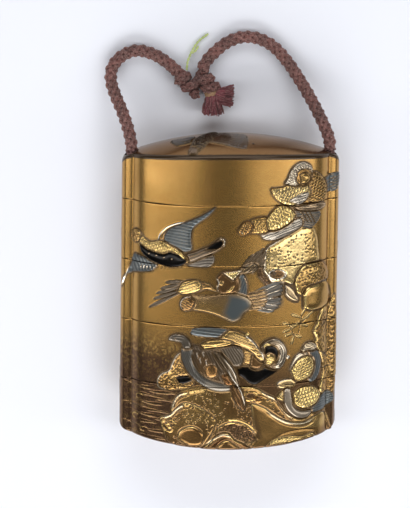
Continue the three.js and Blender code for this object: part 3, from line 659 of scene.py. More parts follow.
def flier_lower_left(c):
    form(c, [(1.6, -12.8), (4.6, -13), (6.6, -14.8), (6.2, -17), (3.4, -17.6), (1, -16.6)], 0.5,
        tone(rust=0.35, bright=0.15), "strokes", 0.85, (1, -0.25), BRIGHT, soft=0.9)
    form(c, [(5.4, -15.2), (7.6, -16), (8.6, -17.6), (7, -18.8), (4.8, -17.8)], 0.6,
        tone(rust=0.5, shade=0.4), soft=1.0)
    form(c, [(-10.6, -7.9), (-8, -7.4), (-3, -7.5), (0.4, -8.4), (1.4, -9.8), (-1.6, -10.2), (-6, -10.2),
        (-10.2, -9.8), (-11.2, -8.8)], 0.5, SLATE, "strokes", 0.85, (1, -0.1), STEEL, soft=1.0, outline=0.5)
    form(c, [(-1, -8.2), (2, -8.6), (4.4, -9.8), (6.6, -12.4), (8.8, -16.2), (7.6, -16.6), (4.6, -13.6),
        (1.6, -12.4), (-2, -11.4), (-3.6, -10.2)], 0.68, tone(rust=0.1, bright=0.25, slate=0.1), "strokes",
        0.9, (1, -0.42), BRIGHT, soft=1.0)
    for k in range(6):
        dot(c, (4.2 + 0.66 * k, -11.2 - 0.85 * k), 0.24, 0.02, DARK)
    c.line(curve([(3.4, -9.6), (4.9, -10.6), (6.7, -12.6), (8, -14.7), (8.9, -16.6)], 6), 0.32, 0.14,
        SILVER, fade=0.08)
    dot(c, (4.1, -9.4), 0.5, 0.2, BRIGHT)
    form(c, [(-5.6, -13), (-1, -12.4), (2.2, -12.8), (3.2, -15.2), (2.6, -17.6), (0, -18), (-3, -16)], 0.6,
        tone(slate=0.7, shade=0.5), "strokes", 0.62, (0.6, -1), STEEL, soft=1.0)
    form(c, [(-11.4, -12.6), (-7, -12.8), (-3.4, -13.6), (-1.6, -17), (0.6, -21), (1.6, -24), (-3, -24.4),
        (-7.6, -22.6), (-10.8, -18.6)], 0.75, tone(slate=0.5, rust=0.15, shade=0.8), "strokes", 0.65,
        (0.5, -1), STEEL, soft=1.6)
    wash(c, [(-9.6, -15), (-7, -14.6), (-5, -17), (-3, -22), (-7, -22), (-9.4, -19)],
        tone(rust=0.5, shade=0.6), 0.6)
    form(c, [(-8.4, -12.3), (-6.8, -11.1), (-4, -10.7), (-1, -10.9), (0.4, -11.6), (-1.6, -12.5),
        (-5, -12.9), (-7.8, -13.4)], 0.8, tone(bright=0.3, rust=0.1), "strokes", 0.75, (1, 0.12), BRIGHT,
        soft=0.8)
    form(c, [(-13.2, -12.2), (-13.4, -15.5), (-12.6, -18.2), (-10.8, -20.8), (-8.6, -22.8), (-6, -24.3),
        (-3, -25), (0.4, -24.6), (1.6, -23.8), (-1.4, -23), (-4.6, -22.2), (-7.2, -21), (-9.2, -19),
        (-10.4, -16.6), (-10.6, -13.8), (-11.4, -12.2)], 0.8, tone(slate=0.9, shade=0.25), "strokes", 0.5,
        (0.4, -1), STEEL, soft=1.5, outline=0.8)
    wash(c, [(-7, -21.8), (-3, -23), (1, -23.4), (0, -24.8), (-4, -25), (-7.6, -23.6)],
        tone(slate=0.75, silver=0.15))
    form(c, [(-7, -18.2), (-5, -17.6), (-3.8, -18.6), (-3.9, -20.4), (-5.6, -21), (-7, -20)], 0.92,
        tone(rust=0.6, bright=0.05), "strokes", 0.45, (1, 0.1), BRONZE, soft=1.0, outline=0.2, edge=0.6)
    form(c, [(-2.8, -20.6), (-1, -20.2), (0.4, -22), (0.2, -23.2), (-2, -22.8)], 0.9, tone(rust=0.8),
        "strokes", 0.7, (1, -1), BRONZE, soft=0.8, outline=0.2, edge=0.6)
    for x, y in ((-12.6, -12.4), (-10.4, -13.2), (-9, -14), (-8.2, -15.4), (-6.6, -15.8), (-7.4, -13.6)):
        c.line(curve([(x, y), (x - 0.15, y - 1), (x + 0.25, y - 2.2)], 5), 0.26, 0.08, STEEL, fade=0.3)
    form(c, [(0, -23.6), (2.2, -23.8), (3.3, -26.4), (4, -29.2), (3.2, -30.4), (1.4, -28.4), (0.2, -26)],
        0.8, tone(rust=0.55, shade=0.4), "strokes", 0.75, (0.4, -1), BRONZE, soft=0.8)
    form(c, [(-5, -14.2), (-3.2, -14.2), (-1, -16.4), (0.8, -19.2), (2, -22.4), (1.8, -24), (0.2, -22),
        (-1.4, -19.4), (-3.4, -16.6)], 1.0, tone(slate=0.5, shade=0.7), "strokes", 0.8, (0.55, -1), SILVER,
        soft=0.9)
    c.line(curve([(-2.6, -15.2), (-0.7, -17.5), (0.7, -19.8), (1.5, -22)], 6), 0.24, 0.1, SILVER, fade=0.2)
    c.line(curve([(-1.2, -18.4), (0.1, -21), (2.1, -24), (3, -26.2), (3.9, -29.4)], 6), 0.28, 0.14, SILVER,
        fade=0.1)
    form(c, [(-16.9, -11.3), (-16.2, -10.1), (-14.6, -9.5), (-12.8, -9.7), (-11.2, -11), (-10.8, -13),
        (-12.6, -13.4), (-13.4, -12), (-15.2, -11.6)], 0.85, tone(slate=0.8, shade=0.4), soft=1.0,
        rim=SILVER, rim_wide=0.3, rim_from=(-1, 0.2))
    dot(c, (-16.3, -11.1), 0.4, 0.15, SILVER)
    dot(c, (-14.9, -10.7), 0.24, 0.05, BLACK)


def black_swimmer(c):
    form(c, [(1.2, -17.2), (3.2, -16.4), (5.4, -16.6), (8, -17.6), (11, -17.4), (13.6, -17.6),
        (12.8, -19.4), (10.4, -21), (8.4, -22.2), (6.6, -23.2), (4.8, -22.8), (3.2, -21.4), (1.6, -20)],
        0.9, BLACK, soft=1.8, edge=0.5)
    form(c, [(7.6, -13), (8.8, -11.4), (11.2, -10.6), (13.4, -11.6), (14.9, -14), (14.7, -16.8),
        (13.2, -19), (11, -18.8), (9, -17.8), (8, -15.6)], 0.92, tone(slate=0.6, shade=0.45),
        soft=1.6, rim=SILVER, rim_wide=0.5, rim_from=(0.9, 0.1))
    for dx in (0.0, 0.75):
        c.line(curve([(11.6 - dx, -11.6 - dx), (13.2 - dx, -12.8), (13.9 - dx, -14.8), (13.4 - dx, -17),
            (12 - dx, -18.2)], 6), 0.26, 0.05, SILVER, fade=0.25)
    form(c, [(8.9, -13.4), (10.6, -12.5), (12.2, -13.4), (12.6, -15.4), (11.8, -17.4), (10, -17.8),
        (8.6, -16)], 0.6, BLACK, soft=1.0, outline=0.6)
    form(c, [(8.9, -16), (10, -14.9), (11.4, -15.6), (11.7, -17), (10.4, -18), (9, -17.4)], 0.85,
        tone(bright=0.6), "strokes", 0.6, (1, -0.4), BRIGHT, soft=0.9, outline=0.4)
    c.line(curve([(8.2, -12.9), (9.4, -12.1), (10.6, -12.6)], 5), 0.35, 0.14, BRIGHT, fade=0.2)
    for k in range(3):
        c.line([(11.9 + 0.5 * k, -18.8 + 0.3 * k), (12.6 + 0.5 * k, -17.4 + 0.3 * k)], 0.15, 0.04, SILVER,
            fade=0.3)
    dot(c, (15.5, -16.2), 0.55, 0.3, SILVER)


def perched_pair(c):
    wing(c, [(25.4, 27.4), (25.4, 31.6)], [(32, 32.6), (32.8, 30.6), (31.4, 28)], 6, 0.4, SLATE, STEEL,
        covert=SLATE, rows=1)
    form(c, [(20.6, 33.6), (22.6, 34), (24.4, 33), (26.2, 31), (26.9, 28.6), (26, 26), (23.6, 25),
        (21, 26.2), (20.2, 29)], 0.8, tone(rust=0.3, earth=0.15), "scales", 1.2, (0.5, -1), GOLD, soft=2.0)
    form(c, [(14.4, 25.6), (17.4, 25), (21, 25.4), (25.6, 25.2), (26.6, 24.2), (24.6, 23.4), (20.4, 23.6),
        (17, 24.2)], 0.6, tone(silver=0.3, rust=0.2), "strokes", 0.8, (1, -0.1), SILVER, soft=0.6)
    form(c, [(10.1, 30.4), (10, 29.2), (11.2, 27.4), (13.4, 25.9), (16.6, 25.3), (19.2, 25.9), (20.9, 27.6),
        (20.9, 29.6), (19, 31.2), (15, 31.2), (12.6, 30.4)], 0.95, tone(bright=0.65, silver=0.15), "scales",
        1.3, (1, -0.35), BRIGHT, soft=2.6, rim=GOLD, rim_from=(-1, 0.4))
    form(c, [(14.8, 26.6), (16.6, 27.8), (19.4, 28.8), (20.7, 28.2), (19.6, 26.4), (17, 25.5)], 0.85,
        tone(slate=0.4, silver=0.5), "strokes", 0.8, (1, 0.2), SILVER, soft=1.0, outline=0.3)
    form(c, [(13.6, 31.4), (14.4, 33), (15.4, 35.2), (17.2, 36.7), (19.4, 36.9), (21.4, 35.6), (21.6, 33.6),
        (20.6, 31.8), (18.6, 31), (16, 30.6)], 0.9, tone(silver=0.5, bright=0.3), "scales", 0.95,
        (-0.5, -1), SILVER, soft=1.6, rim=SILVER, rim_from=(-1, 0.6))
    form(c, [(17.2, 34.2), (18.6, 34.9), (20.4, 34.6), (21.4, 33), (20.6, 31.2), (18.9, 30.6), (17.4, 31.4),
        (16.9, 32.8)], 0.55, tone(rust=0.35, bright=0.15), soft=0.9, outline=0.9)
    form(c, [(18, 33.4), (19.5, 34), (20.8, 33.2), (20.9, 31.9), (19.6, 31), (18.2, 31.6)], 0.95,
        tone(rust=0.25, bright=0.35), soft=1.4)


def standing_bird(c):
    wing(c, [(16.2, 20.6), (15.6, 24.2)], [(24.8, 22.8), (25.6, 20.6), (21.6, 18.6)], 8, 0.45, SLATE, STEEL,
        covert=SLATE, rows=1, reach=0.35)
    for k in range(3):
        c.line([(18.2 + 1.4 * k, 23.6 - 0.3 * k), (20.4 + 1.2 * k, 20.6 - 0.2 * k)], 0.24, 0.1, DARK)
    form(c, [(6.6, 18.5), (10, 18.8), (13, 19.4), (16.4, 21.2), (18.4, 21.7), (18.7, 19.6), (16, 18),
        (13, 16.7), (10, 16.2), (7.6, 16.8)], 0.75, tone(silver=0.5, slate=0.45), "strokes", 0.7, (1, 0.3),
        SILVER, soft=1.4)
    form(c, [(3.6, 20.9), (5.4, 22.3), (9, 22.6), (10.6, 20.4), (8.6, 18.4), (5, 18.2), (3.8, 18.8)], 0.8,
        tone(bright=0.3, rust=0.15), "scales", 0.85, (1, 0.1), GOLD, soft=1.4)
    form(c, [(8.7, 21.4), (10, 23.9), (12.4, 25.7), (14.8, 25.2), (16.6, 22.9), (15.8, 21.2), (12.8, 19.4),
        (10.4, 18.9), (9, 19.6)], 0.98, tone(bright=0.75), "scales", 1.35, (1, 0.25), BRIGHT, soft=1.8)
    form(c, [(1.2, 19.2), (1.9, 17.9), (3.1, 17.8), (4.5, 18.7), (5.1, 20.6), (3.9, 21.7), (2.1, 20.9)],
        0.85, tone(rust=0.45, earth=0.3), "scales", 0.85, (1, 0.4), GOLD, soft=1.1, rim=GOLD,
        rim_from=(-1, 0))
    dot(c, (3.2, 19.6), 0.3, 0.06, BLACK)
    dot(c, (2.2, 18.6), 0.22, 0.05, SILVER)


def rock_birds(c):
    form(c, [(12.2, -23.3), (13.8, -22.3), (16.2, -22.1), (17.8, -23.2), (17.2, -24.5), (14.4, -24.8),
        (12.6, -24.3)], 0.6, tone(bright=0.4, silver=0.15), soft=0.8, rim=SILVER,
        rim_from=(-0.4, 1))
    form(c, [(20.4, -15), (23.4, -14.6), (25.4, -16.8), (25.8, -19.8), (24.4, -22.8), (22, -23.8),
        (21, -20)], 0.75, SLATE, "strokes", 0.6, (0.2, -1), STEEL, soft=1.2)
    form(c, [(15.7, -20), (16.8, -17), (18.2, -15.5), (20.4, -15), (21.4, -16.6), (18.8, -18.4),
        (16.9, -20.6)], 0.7, tone(silver=0.5, bright=0.2), soft=0.8, rim=SILVER,
        rim_from=(-1, 0.6))
    form(c, [(16.3, -20.2), (17.4, -18.2), (19, -16.9), (21, -16.3), (22.8, -17.5), (23, -20),
        (21.6, -22.3), (18.8, -23.1), (16.9, -22)], 0.95, tone(bright=0.75), "scales", 1.2, (0.35, -1),
        BRIGHT, soft=1.8)
    form(c, [(19.2, -14.7), (20, -13.2), (21.6, -12.5), (23.4, -13.2), (24, -14.5), (22.4, -15),
        (20.6, -14.8), (19.6, -15.4)], 0.9, tone(silver=0.4, bright=0.3), "strokes", 0.5, (1, 0.1), SILVER,
        soft=0.8)
    form(c, [(12.2, -27.5), (13.2, -25.7), (14.9, -25), (15.4, -27), (13.8, -28.4)], 0.75, tone(bright=0.5),
        "strokes", 0.5, (0.6, 1), SILVER, soft=0.8)
    form(c, [(21, -30.4), (24, -29.4), (26.6, -27.8), (29.8, -27.4), (31.4, -29.8), (29, -31.4),
        (25.6, -32.2), (22.6, -32.2)], 0.5, SLATE, "strokes", 0.65, (1, 0.1), STEEL, soft=0.9)
    form(c, [(14.4, -25.2), (16, -24.9), (16.6, -27.4), (17.2, -29.8), (19.2, -31.2), (22.6, -31.6),
        (21.4, -33.3), (18.2, -33.2), (15.6, -31.2), (14.3, -28.2)], 0.75, tone(slate=0.6, silver=0.2),
        "plain", soft=0.9, rim=SILVER, rim_wide=0.3, rim_from=(0.3, 1))
    form(c, [(16.9, -26.6), (18.4, -25.2), (20.6, -24.7), (23.6, -25.3), (25.6, -27.3), (24.2, -29.7),
        (21, -30.8), (18.6, -30.2), (17.1, -28.8)], 0.98, tone(bright=0.75), "scales", 1.25, (1, -0.6),
        BRIGHT, soft=1.8)


def upper_rocks(c):
    form(c, [(6.9, 6.4), (6.8, 9), (7.6, 11.4), (9, 13.6), (10, 11), (10.4, 7), (13, 4.2), (11, 3.4),
        (8.6, 4)], 0.55, tone(rust=0.6, shade=0.7), "grain", 0.6, line=BRONZE, soft=0.8)
    form(c, [(8.6, 13.8), (10.6, 15.4), (13, 16.7), (16, 18.2), (19, 19.7), (21.8, 19.3), (23.6, 16.4),
        (24.2, 12.6), (24.4, 9.2), (21, 8.4), (18.6, 7), (17.3, 4.8), (16.2, 3.8), (14, 4.2), (12, 4.6),
        (10.4, 4.9), (9.2, 6.6), (8, 9)], 0.8, tone(bright=0.75, silver=0.1), "spots", 0.75, soft=2.4,
        rim=SILVER, rim_wide=0.35, rim_from=(-1, -0.2), groove=0.5)
    wash(c, [(19.4, 20), (24.6, 18), (24.8, 9), (20, 8), (19.4, 12)], tone(rust=0.15, bright=0.3), 0.75,
        3.0)
    hole(c, (11.9, 6.9), (2.0, 1.15), -0.1)
    dot(c, (10.9, 7.2), 0.8, -0.1, tone(shade=0.9, earth=0.5))
    form(c, [(14, 3.9), (15.8, 3.1), (17.6, 1), (18.1, -0.8), (17, -0.9), (15.3, 0.1), (14.2, 1.8)], 0.6,
        tone(silver=0.3, bright=0.3, rust=0.1), soft=0.9, rim=SILVER, rim_from=(-1, 0.4),
        groove=0.75)
    form(c, [(17, 3.8), (17.8, 6.6), (19.6, 8.5), (22.6, 9), (26, 8.8), (28.4, 6), (27.8, 3), (24, 2.4),
        (20.6, 2), (19, 0.6), (17.4, 1.6)], 0.9, tone(rust=0.1, earth=0.12, bright=0.1), "grain", 0.85,
        line=BRIGHT, soft=1.8, rim=BRIGHT, rim_wide=0.35, rim_from=(-1, 0.3), groove=0.75)
    wash(c, [(24, 9.4), (29, 8), (28.6, 2), (23.4, 2.2)], tone(rust=0.35, earth=0.3), 0.7, 2.5)
    form(c, [(19.5, 0.4), (20.8, 2.4), (23.4, 2.9), (27.6, 3.2), (29.4, 0), (28.6, -3), (25, -3.9),
        (21.6, -3.8), (19.5, -2.6)], 0.9, tone(bright=0.1, earth=0.12), soft=2.0, rim=BRIGHT,
        rim_wide=0.6, rim_from=(-1, 0.2), groove=0.75)
    form(c, [(26.4, -3.8), (25, -5.6), (24.3, -7.8), (23.1, -9.8), (23.9, -11.6), (23.5, -13.4),
        (25.4, -16), (26.8, -19.4), (26.6, -22.6), (25.6, -26.4), (28.4, -29), (31.6, -27), (32, -14),
        (31.6, -1.8), (30, -1.6), (28.4, -3.4)], 0.6, tone(rust=0.22, earth=0.15), "grain", 0.85,
        line=BRIGHT, soft=1.4, rim=BRIGHT, rim_wide=0.4, rim_from=(-1, 0))
    c.line(curve([(30.4, -0.8), (29.6, -4), (28.6, -8), (28.2, -14), (28.8, -20), (28, -25)], 8), 0.24, 0.1,
        GOLD, fade=0.08)
    for x, y, across, up in ((24.6, -15.4, 4, -2.6), (26, -17, 4.4, 1.8), (25.4, -20.6, 5, 0.6),
            (25, -9, 4, 3)):
        c.line(curve([(x, y), (x + 0.5 * across, y + 0.35 * up), (x + across, y + up)], 5), 0.26, -0.12,
            DARK, fade=0.25)
    c.line(curve([(29.9, -1.4), (29, -4.4), (28, -8.4), (27.6, -14)], 8), 0.22, -0.1, DARK, fade=0.1)
    for a, b in [((18.4, -10.4), (19.6, -4.2)), ((17.2, -11.6), (15.6, -6.6)), ((18.9, -7.4), (22, -5.2))]:
        c.line([a, b], 0.13, -0.09, DARK, fade=0.1)
    for x, y, across, up in [(19, -5.6, -2.8, 1.2), (19.2, -5, 1.4, 2), (19, -6.4, 2.8, 0.9),
            (20.6, -5.6, 2.4, 1.4), (18.7, -7.4, -2.9, -0.2), (18.9, -7.4, 2.4, -0.8),
            (16.4, -8.4, -2.6, -0.9), (16.2, -7.6, -2.4, 1), (16.6, -8.4, 1.9, 1.6),
            (16.9, -9.8, -2.6, -0.4), (17.2, -10.2, 2.2, -0.9), (17, -10.6, -0.6, -2.2)]:
        leaf(c, (x, y), (x + across, y + up), 0.7, 0.14, tone(bright=0.55), BRIGHT, barbs=0.0, outline=1.0)


def left_rock(c):
    form(c, [(-12, -13.8), (-14.6, -15.2), (-15.9, -17.6), (-16.7, -19.6), (-18.8, -20.7), (-20, -22.9),
        (-19, -25), (-14, -24.8), (-10, -23), (-9.6, -17)], 0.6, tone(rust=0.25, earth=0.15), "grain", 0.9,
        line=BRIGHT, soft=1.6, rim=SILVER, rim_wide=0.35, rim_from=(-1, 0.5))
    form(c, [(-14.8, -21.4), (-12, -20.7), (-9, -20.9), (-10.4, -22.3), (-12.8, -23.2), (-14.2, -22.8)],
        0.6, BLACK, soft=0.8, outline=0.4)


def shore_rocks(c):
    form(c, [(-15.8, -31.4), (-15.2, -28), (-13.8, -26), (-11, -24.9), (-7, -24.2), (-2, -23.9), (4, -23.7),
        (7, -24.3), (9.2, -25.9), (11.7, -27), (13.2, -29.2), (15.2, -31.6), (17.6, -33.1), (20.6, -33.6),
        (23, -32.3), (26, -31.4), (28.6, -32.4), (29, -46), (-8, -46), (-12, -36)], 0.6, tone(earth=0.5),
        "spots", 0.8, soft=1.5, rim=BRIGHT, rim_wide=0.3)
    form(c, [(-19, -33.4), (-17.6, -32.4), (-16, -31.7), (-14.4, -29.8), (-12.2, -28.4), (-8, -29.6),
        (-4, -33), (-6, -38), (-9, -41), (-14, -40.6), (-17.8, -38.4)], 0.62, tone(earth=0.5), "spots", 0.7,
        soft=1.4, rim=BRIGHT, rim_wide=0.3, rim_from=(-0.6, 1))
    form(c, [(5.4, -28.6), (9, -29.8), (12.6, -32.4), (16, -34), (20.4, -34.6), (24, -33.4), (28, -34),
        (28.6, -46), (4, -46), (6.6, -38), (6, -33)], 0.62, tone(earth=0.3), soft=1.6, rim=BRIGHT,
        rim_wide=0.3, rim_from=(0, 1))
    wash(c, [(17, -33.6), (21, -34.6), (24, -33.6), (29, -34), (29, -36.6), (22, -36.8), (17, -36)], BRIGHT,
        0.4, 1.6)
    c.line(curve([(11, -38.6), (15, -37), (20, -36.6), (25, -37.4)], 6), 0.4, -0.08, BRONZE, fade=0.2)
    form(c, [(9, -41.8), (11, -39), (15, -38), (20, -38.6), (24, -38.4), (25, -46), (10, -46)], 0.66,
        tone(bright=0.7), "grain", 0.55, line=BRIGHT, soft=1.2, outline=0.6)
    for k, radius in enumerate((2.0, 1.3, 0.6)):
        turn = np.linspace(0.4 * k, 5.6 + 0.3 * k, 16)
        ring = np.stack([-16.5 + radius * np.cos(turn), -34.9 + 0.85 * radius * np.sin(turn)], axis=1)
        c.line(ring, 0.2, -0.08 if k % 2 else 0.1, DARK if k % 2 else GOLD, fade=0.1)
    form(c, [(-13.9, -38.6), (-13.2, -35.9), (-10, -34.9), (-7.4, -36.8), (-8, -39.8), (-11.8, -40)], 0.7,
        tone(rust=0.4, earth=0.2), soft=1.2, rim=BRIGHT, rim_from=(-1, 0.6))
    form(c, [(-3.7, -37), (-2.6, -34.6), (0, -33.6), (3.2, -34), (5.6, -35.8), (6.9, -38.4), (4, -39.2),
        (0, -38.6)], 0.32, tone(earth=0.9), "grain", 0.55, line=GOLD, soft=1.0, rim=GOLD, rim_wide=0.3,
        rim_from=(0, 1))
    c.line(curve([(-1.6, -32.7), (1.6, -32.8), (5, -34.4), (7.4, -36.8)], 6), 0.34, 0.12, GOLD, fade=0.12)
    form(c, [(-8.4, -41.6), (-5.4, -38.9), (-3.8, -37.2), (-0.8, -36.4), (1.2, -38.4), (4.2, -39.8),
        (6.6, -42), (5, -46), (-7, -46)], 0.75, RUST, soft=1.2, rim=BRIGHT, rim_wide=0.4,
        rim_from=(-0.2, 1))
    form(c, [(-4, -46), (-3.4, -40.4), (-1, -38.6), (1.6, -40), (3.6, -41.6), (3.8, -46)], 0.8,
        tone(rust=0.6, bright=0.1), soft=1.0, rim=GOLD, rim_from=(-0.4, 1))
    for ridge in (
        [(-15.6, -30.6), (-15, -28), (-13.6, -26.2), (-10.8, -25.1)],
        [(-18.6, -33.1), (-16, -31.9), (-14.2, -30), (-12.2, -28.8)],
        [(7.6, -24.8), (9.4, -26.1), (11.6, -27.3), (13.2, -29.5), (15.2, -31.9), (17.6, -33.4)],
        [(-6.6, -40), (-4.4, -38), (-1.8, -36.9), (0.4, -37.6)],
        [(9, -30.2), (12.6, -32.8), (16, -34.4), (20, -34.9), (24, -33.9)],
    ):
        # A painted highlight along each ridge, and just below it a line of painted shade.
        c.line(curve(ridge, 6), 0.34, 0.14, tone(silver=0.5, bright=0.5), fade=0.15)
        c.line(curve([(x + 0.3, y - 0.75) for x, y in ridge], 6), 0.3, -0.08, tone(shade=0.6, earth=0.4),
            fade=0.2)
    hole(c, (5.2, -26.3), (1.5, 1.0), 0.1, rim=GOLD)
    hole(c, (7.4, -27.0), (0.9, 0.7), 0.1, rim=BRONZE)


def foot_shade(c):
    """The rocks grow darker towards the foot of the case, with painted shadow in the hollow under the shore
    rock's edge.
    """
    wash(c, [(-26, -34), (-16, -38), (-2, -40), (12, -39.6), (24, -38), (31, -34), (31, -47), (-27, -47)],
        tone(earth=0.85, shade=0.15), 0.85, 4.0)
    # Painted shadow in the hollow under the edge of the shore rock.
    wash(c, [(5.6, -30.5), (7.6, -34), (8.4, -38), (6.6, -38), (5.8, -34)], tone(earth=0.7, shade=0.4), 0.7,
        1.2)
    wash(c, [(-14, -24.8), (-9, -23.6), (-2, -23.4), (-2, -24.8), (-9, -25.2), (-13, -27)], GOLD, 0.6, 1.4)


def water(c):
    """Brown ground towards the foot, powdered with gold, with lines of water on it."""
    near = c.near([(-34, -44), (34, -2)], 0)
    if not near.size:
        return
    u, v = c.u[near], c.v[near]
    left = ease((-7 - v + 4 * noise(u, v, 7.0, 70)) / 16) * ease((4 - u) / 18)
    deep = np.maximum(left, 0.75 * ease((-9 - v) / 16))
    dust = ease((noise(u, v, 0.42, 71) * 0.7 + noise(u, v, 1.0, 72) * 0.3 - 0.52) / 0.12)
    dust = dust * ease((-6 - v) / 8) * ease((6 - u) / 16)
    ground = (UMBER * 1.45 * deep) * (1 - dust * (1 - 0.7 * deep))
    c.mix[:, near] = ground + GOLD * dust * (0.25 + 0.25 * deep)
    for k in range(15):
        v, start = -24.4 - 1.08 * k, -33.6 + 2.3 * (k * 3 % 5)
        wave = [(start + 1.7 * i, v + 0.16 * math.sin(1.1 * i + 1.9 * k) - 0.07 * i)
                for i in range(9 - k // 4)]
        c.line(curve(wave, 7), 0.1, 0.03, tone(rust=0.4, earth=0.25), fade=0.3)
        c.line(curve([(x + 3, y - 0.5) for x, y in wave[:-2]], 7), 0.16, -0.05, DARK, fade=0.3)
    turn = np.linspace(0, 5.4, 14)
    for x, y in ((-25.5, -28), (-24, -37), (-27, -33.5)):
        eddy = [x + 1.5 * np.cos(turn) * (1 - 0.1 * turn), y + 0.9 * np.sin(turn) * (1 - 0.1 * turn)]
        c.line(np.stack(eddy, 1), 0.17, 0.06, tone(bright=0.35), fade=0.2)


def paint(c):
    """The whole design on the wall of the case."""
    water(c)
    for part in (left_rock, upper_rocks, shore_rocks, foot_shade, standing_bird, perched_pair, rock_birds,
            flier_middle, flier_upper_left, black_swimmer, flier_lower_left):
        part(c)


def paint_back(c):
    """The hidden back: bands of mist and low banks."""
    near = c.near([(BACK_U - 40, -50), (BACK_U + 40, 50)], 0)
    if not near.size:
        return
    u, v = c.u[near] - BACK_U, c.v[near]
    for k, (height, lean, wide) in enumerate([(-30, 0.12, 5.5), (-18, -0.1, 3.2), (14, 0.06, 2.6)]):
        bank = height + lean * u + 2.4 * noise(u, v * 0, 9.0, 50 + k)
        cover = ease((bank - v) / 0.9) * ease((v - bank + wide * 2) / (wide * 1.4))
        c.lay(near, cover * 0.75, 0.1 + 0.05 * noise(u, v, 3.0, 53), tone(bright=0.25, rust=0.12 * k))


def paint_dome(c):
    """The bird on the lid: places across the lid and away from its middle plane."""
    wing(c, [(-6.4, 5.6), (-3.6, -1)], [(3.8, 0.6), (5, 5), (3.4, 9.4)], 9, 0.28,
        tone(slate=0.7, rust=0.3, shade=0.2), SLATE, covert=tone(slate=0.6, rust=0.3, shade=0.2), rows=2)
    wing(c, [(-9, 5), (-9.6, 0.8)], [(-16, 0.4), (-16.6, 2.6), (-15, 5)], 8, 0.28, DEEP, BLACK,
        covert=BLACK, rows=2)
    form(c, [(-11.6, 8.6), (-9.6, 9.4), (-7, 6.4), (-4.6, 2.2), (-3.2, -1.6), (-5.4, -2.4), (-8.4, 0.6),
        (-10.8, 4.6)], 0.4, BLACK, "scales", 0.7, (0.6, -1), STEEL, soft=1.4, edge=0.12)
    form(c, [(-12, 10.6), (-10.2, 10.6), (-9.6, 8.4), (-10.8, 7.4), (-12, 8.6)], 0.38,
        tone(slate=0.7, rust=0.3), soft=0.7, edge=0.12)
    dot(c, (5.4, 6.4), 0.5, 0.05, BLACK)


# ---------------------------------------------------------------- building meshes


def put(name, data):
    made = bpy.data.objects.new(name, data)
    bpy.context.scene.collection.objects.link(made)
    return made


def face_outwards(mesh):
    work = bmesh.new()
    work.from_mesh(mesh)
    bmesh.ops.recalc_face_normals(work, faces=work.faces)
    work.to_mesh(mesh)
    work.free()


class Shell:
    """Points, faces and lacquer shares of one piece while it is put together, in millimetres."""

    def __init__(self):
        self.points, self.mixes, self.faces, self.count = [], [], [], 0

    def add(self, x, y, z, mix=UMBER):
        """Adds points, with z from the middle plane, and returns their numbers."""
        x, y, z = np.broadcast_arrays(np.asarray(x, float), y, z)
        self.points.append(np.stack([x.ravel(), y.ravel(), z.ravel() + MID_Z], axis=1))
        self.mixes.append(np.broadcast_to(mix, (len(LACQUERS), x.size)))
        self.count += x.size
        return np.arange(self.count - x.size, self.count)

    def across(self, numbers):
        """Where points lie when seen along Y."""
        return np.concatenate(self.points)[numbers][:, [0, 2]]

    def bridge(self, *rings):
        """Quads between closed rings of equal length."""
        for a, b in zip(rings, rings[1:]):
            self.faces.append(np.stack([a, np.roll(a, -1), np.roll(b, -1), b], axis=1))

    def fill(self, rings, inner=()):
        """Triangles between closed rings seen along Y, through the inner points too."""
        numbers = np.concatenate([*rings, *inner])
        places = self.across(numbers)
        edges, spans, start = [], [], 0
        for ring in rings:
            n = len(ring)
            edges += [(start + i, start + (i + 1) % n) for i in range(n)]
            spans.append(places[start:start + n])
            start += n
        made = delaunay_2d_cdt([Vector(p) for p in places.tolist()], edges, [], 0, 1e-6)
        if len(made[0]) != len(numbers):
            raise ValueError("two rings of a piece cross each other")
        first = np.array([o[0] for o in made[3]])
        triangles = first[np.array(made[2])]
        middles = places[triangles].mean(axis=1)
        good = within(middles, spans[0])
        for span in spans[1:]:
            good &= ~within(middles, span)
        self.faces.append(numbers[triangles[good]])

    def cap(self, ring):
        """Closes a ring with a fan round its middle."""
        x, y, z = np.concatenate(self.points)[ring].mean(axis=0)
        middle = self.add(x, y, z - MID_Z)
        self.faces.append(np.stack([ring, np.roll(ring, -1), np.repeat(middle, len(ring))], axis=1))

    def finish(self, name, look):
        mesh = bpy.data.meshes.new(name)
        points = np.concatenate(self.points) * MM
        loops = np.concatenate([f.ravel() for f in self.faces]).astype(np.int32)
        corners = np.concatenate([np.full(len(f), f.shape[1]) for f in self.faces])
        mesh.vertices.add(len(points))
        mesh.vertices.foreach_set("co", points.astype(np.float32).ravel())
        mesh.loops.add(len(loops))
        mesh.loops.foreach_set("vertex_index", loops)
        mesh.polygons.add(len(corners))
        mesh.polygons.foreach_set("loop_start", np.r_[0, np.cumsum(corners)[:-1]].astype(np.int32))
        mesh.update(calc_edges=True)
        mesh.validate()
        face_outwards(mesh)
        for lacquer, row in zip(LACQUERS, np.concatenate(self.mixes, axis=1)):
            made = mesh.attributes.new(lacquer, "FLOAT", "POINT")
            made.data.foreach_set("value", np.clip(row, 0, 1).astype(np.float32))
        mesh.polygons.foreach_set("use_smooth", np.ones(len(mesh.polygons), bool))
        mesh.set_sharp_from_angle(angle=SHARP_ANGLE)
        mesh.materials.append(look)
        return put(name, mesh)


def oval(shape, n=96):
    angle = np.linspace(0, 2 * math.pi, n, endpoint=False)
    return shape[0] * np.cos(angle), shape[1] * np.sin(angle)


def less(shape, by):
    return shape[0] - by, shape[1] - by


def flat(y):
    return lambda x, z: y + 0 * x


def bore_circles():
    x, z = oval((BORE_R, BORE_R), 32)
    return [(x + side * RUNNER_X, z) for side in (-1, 1)]


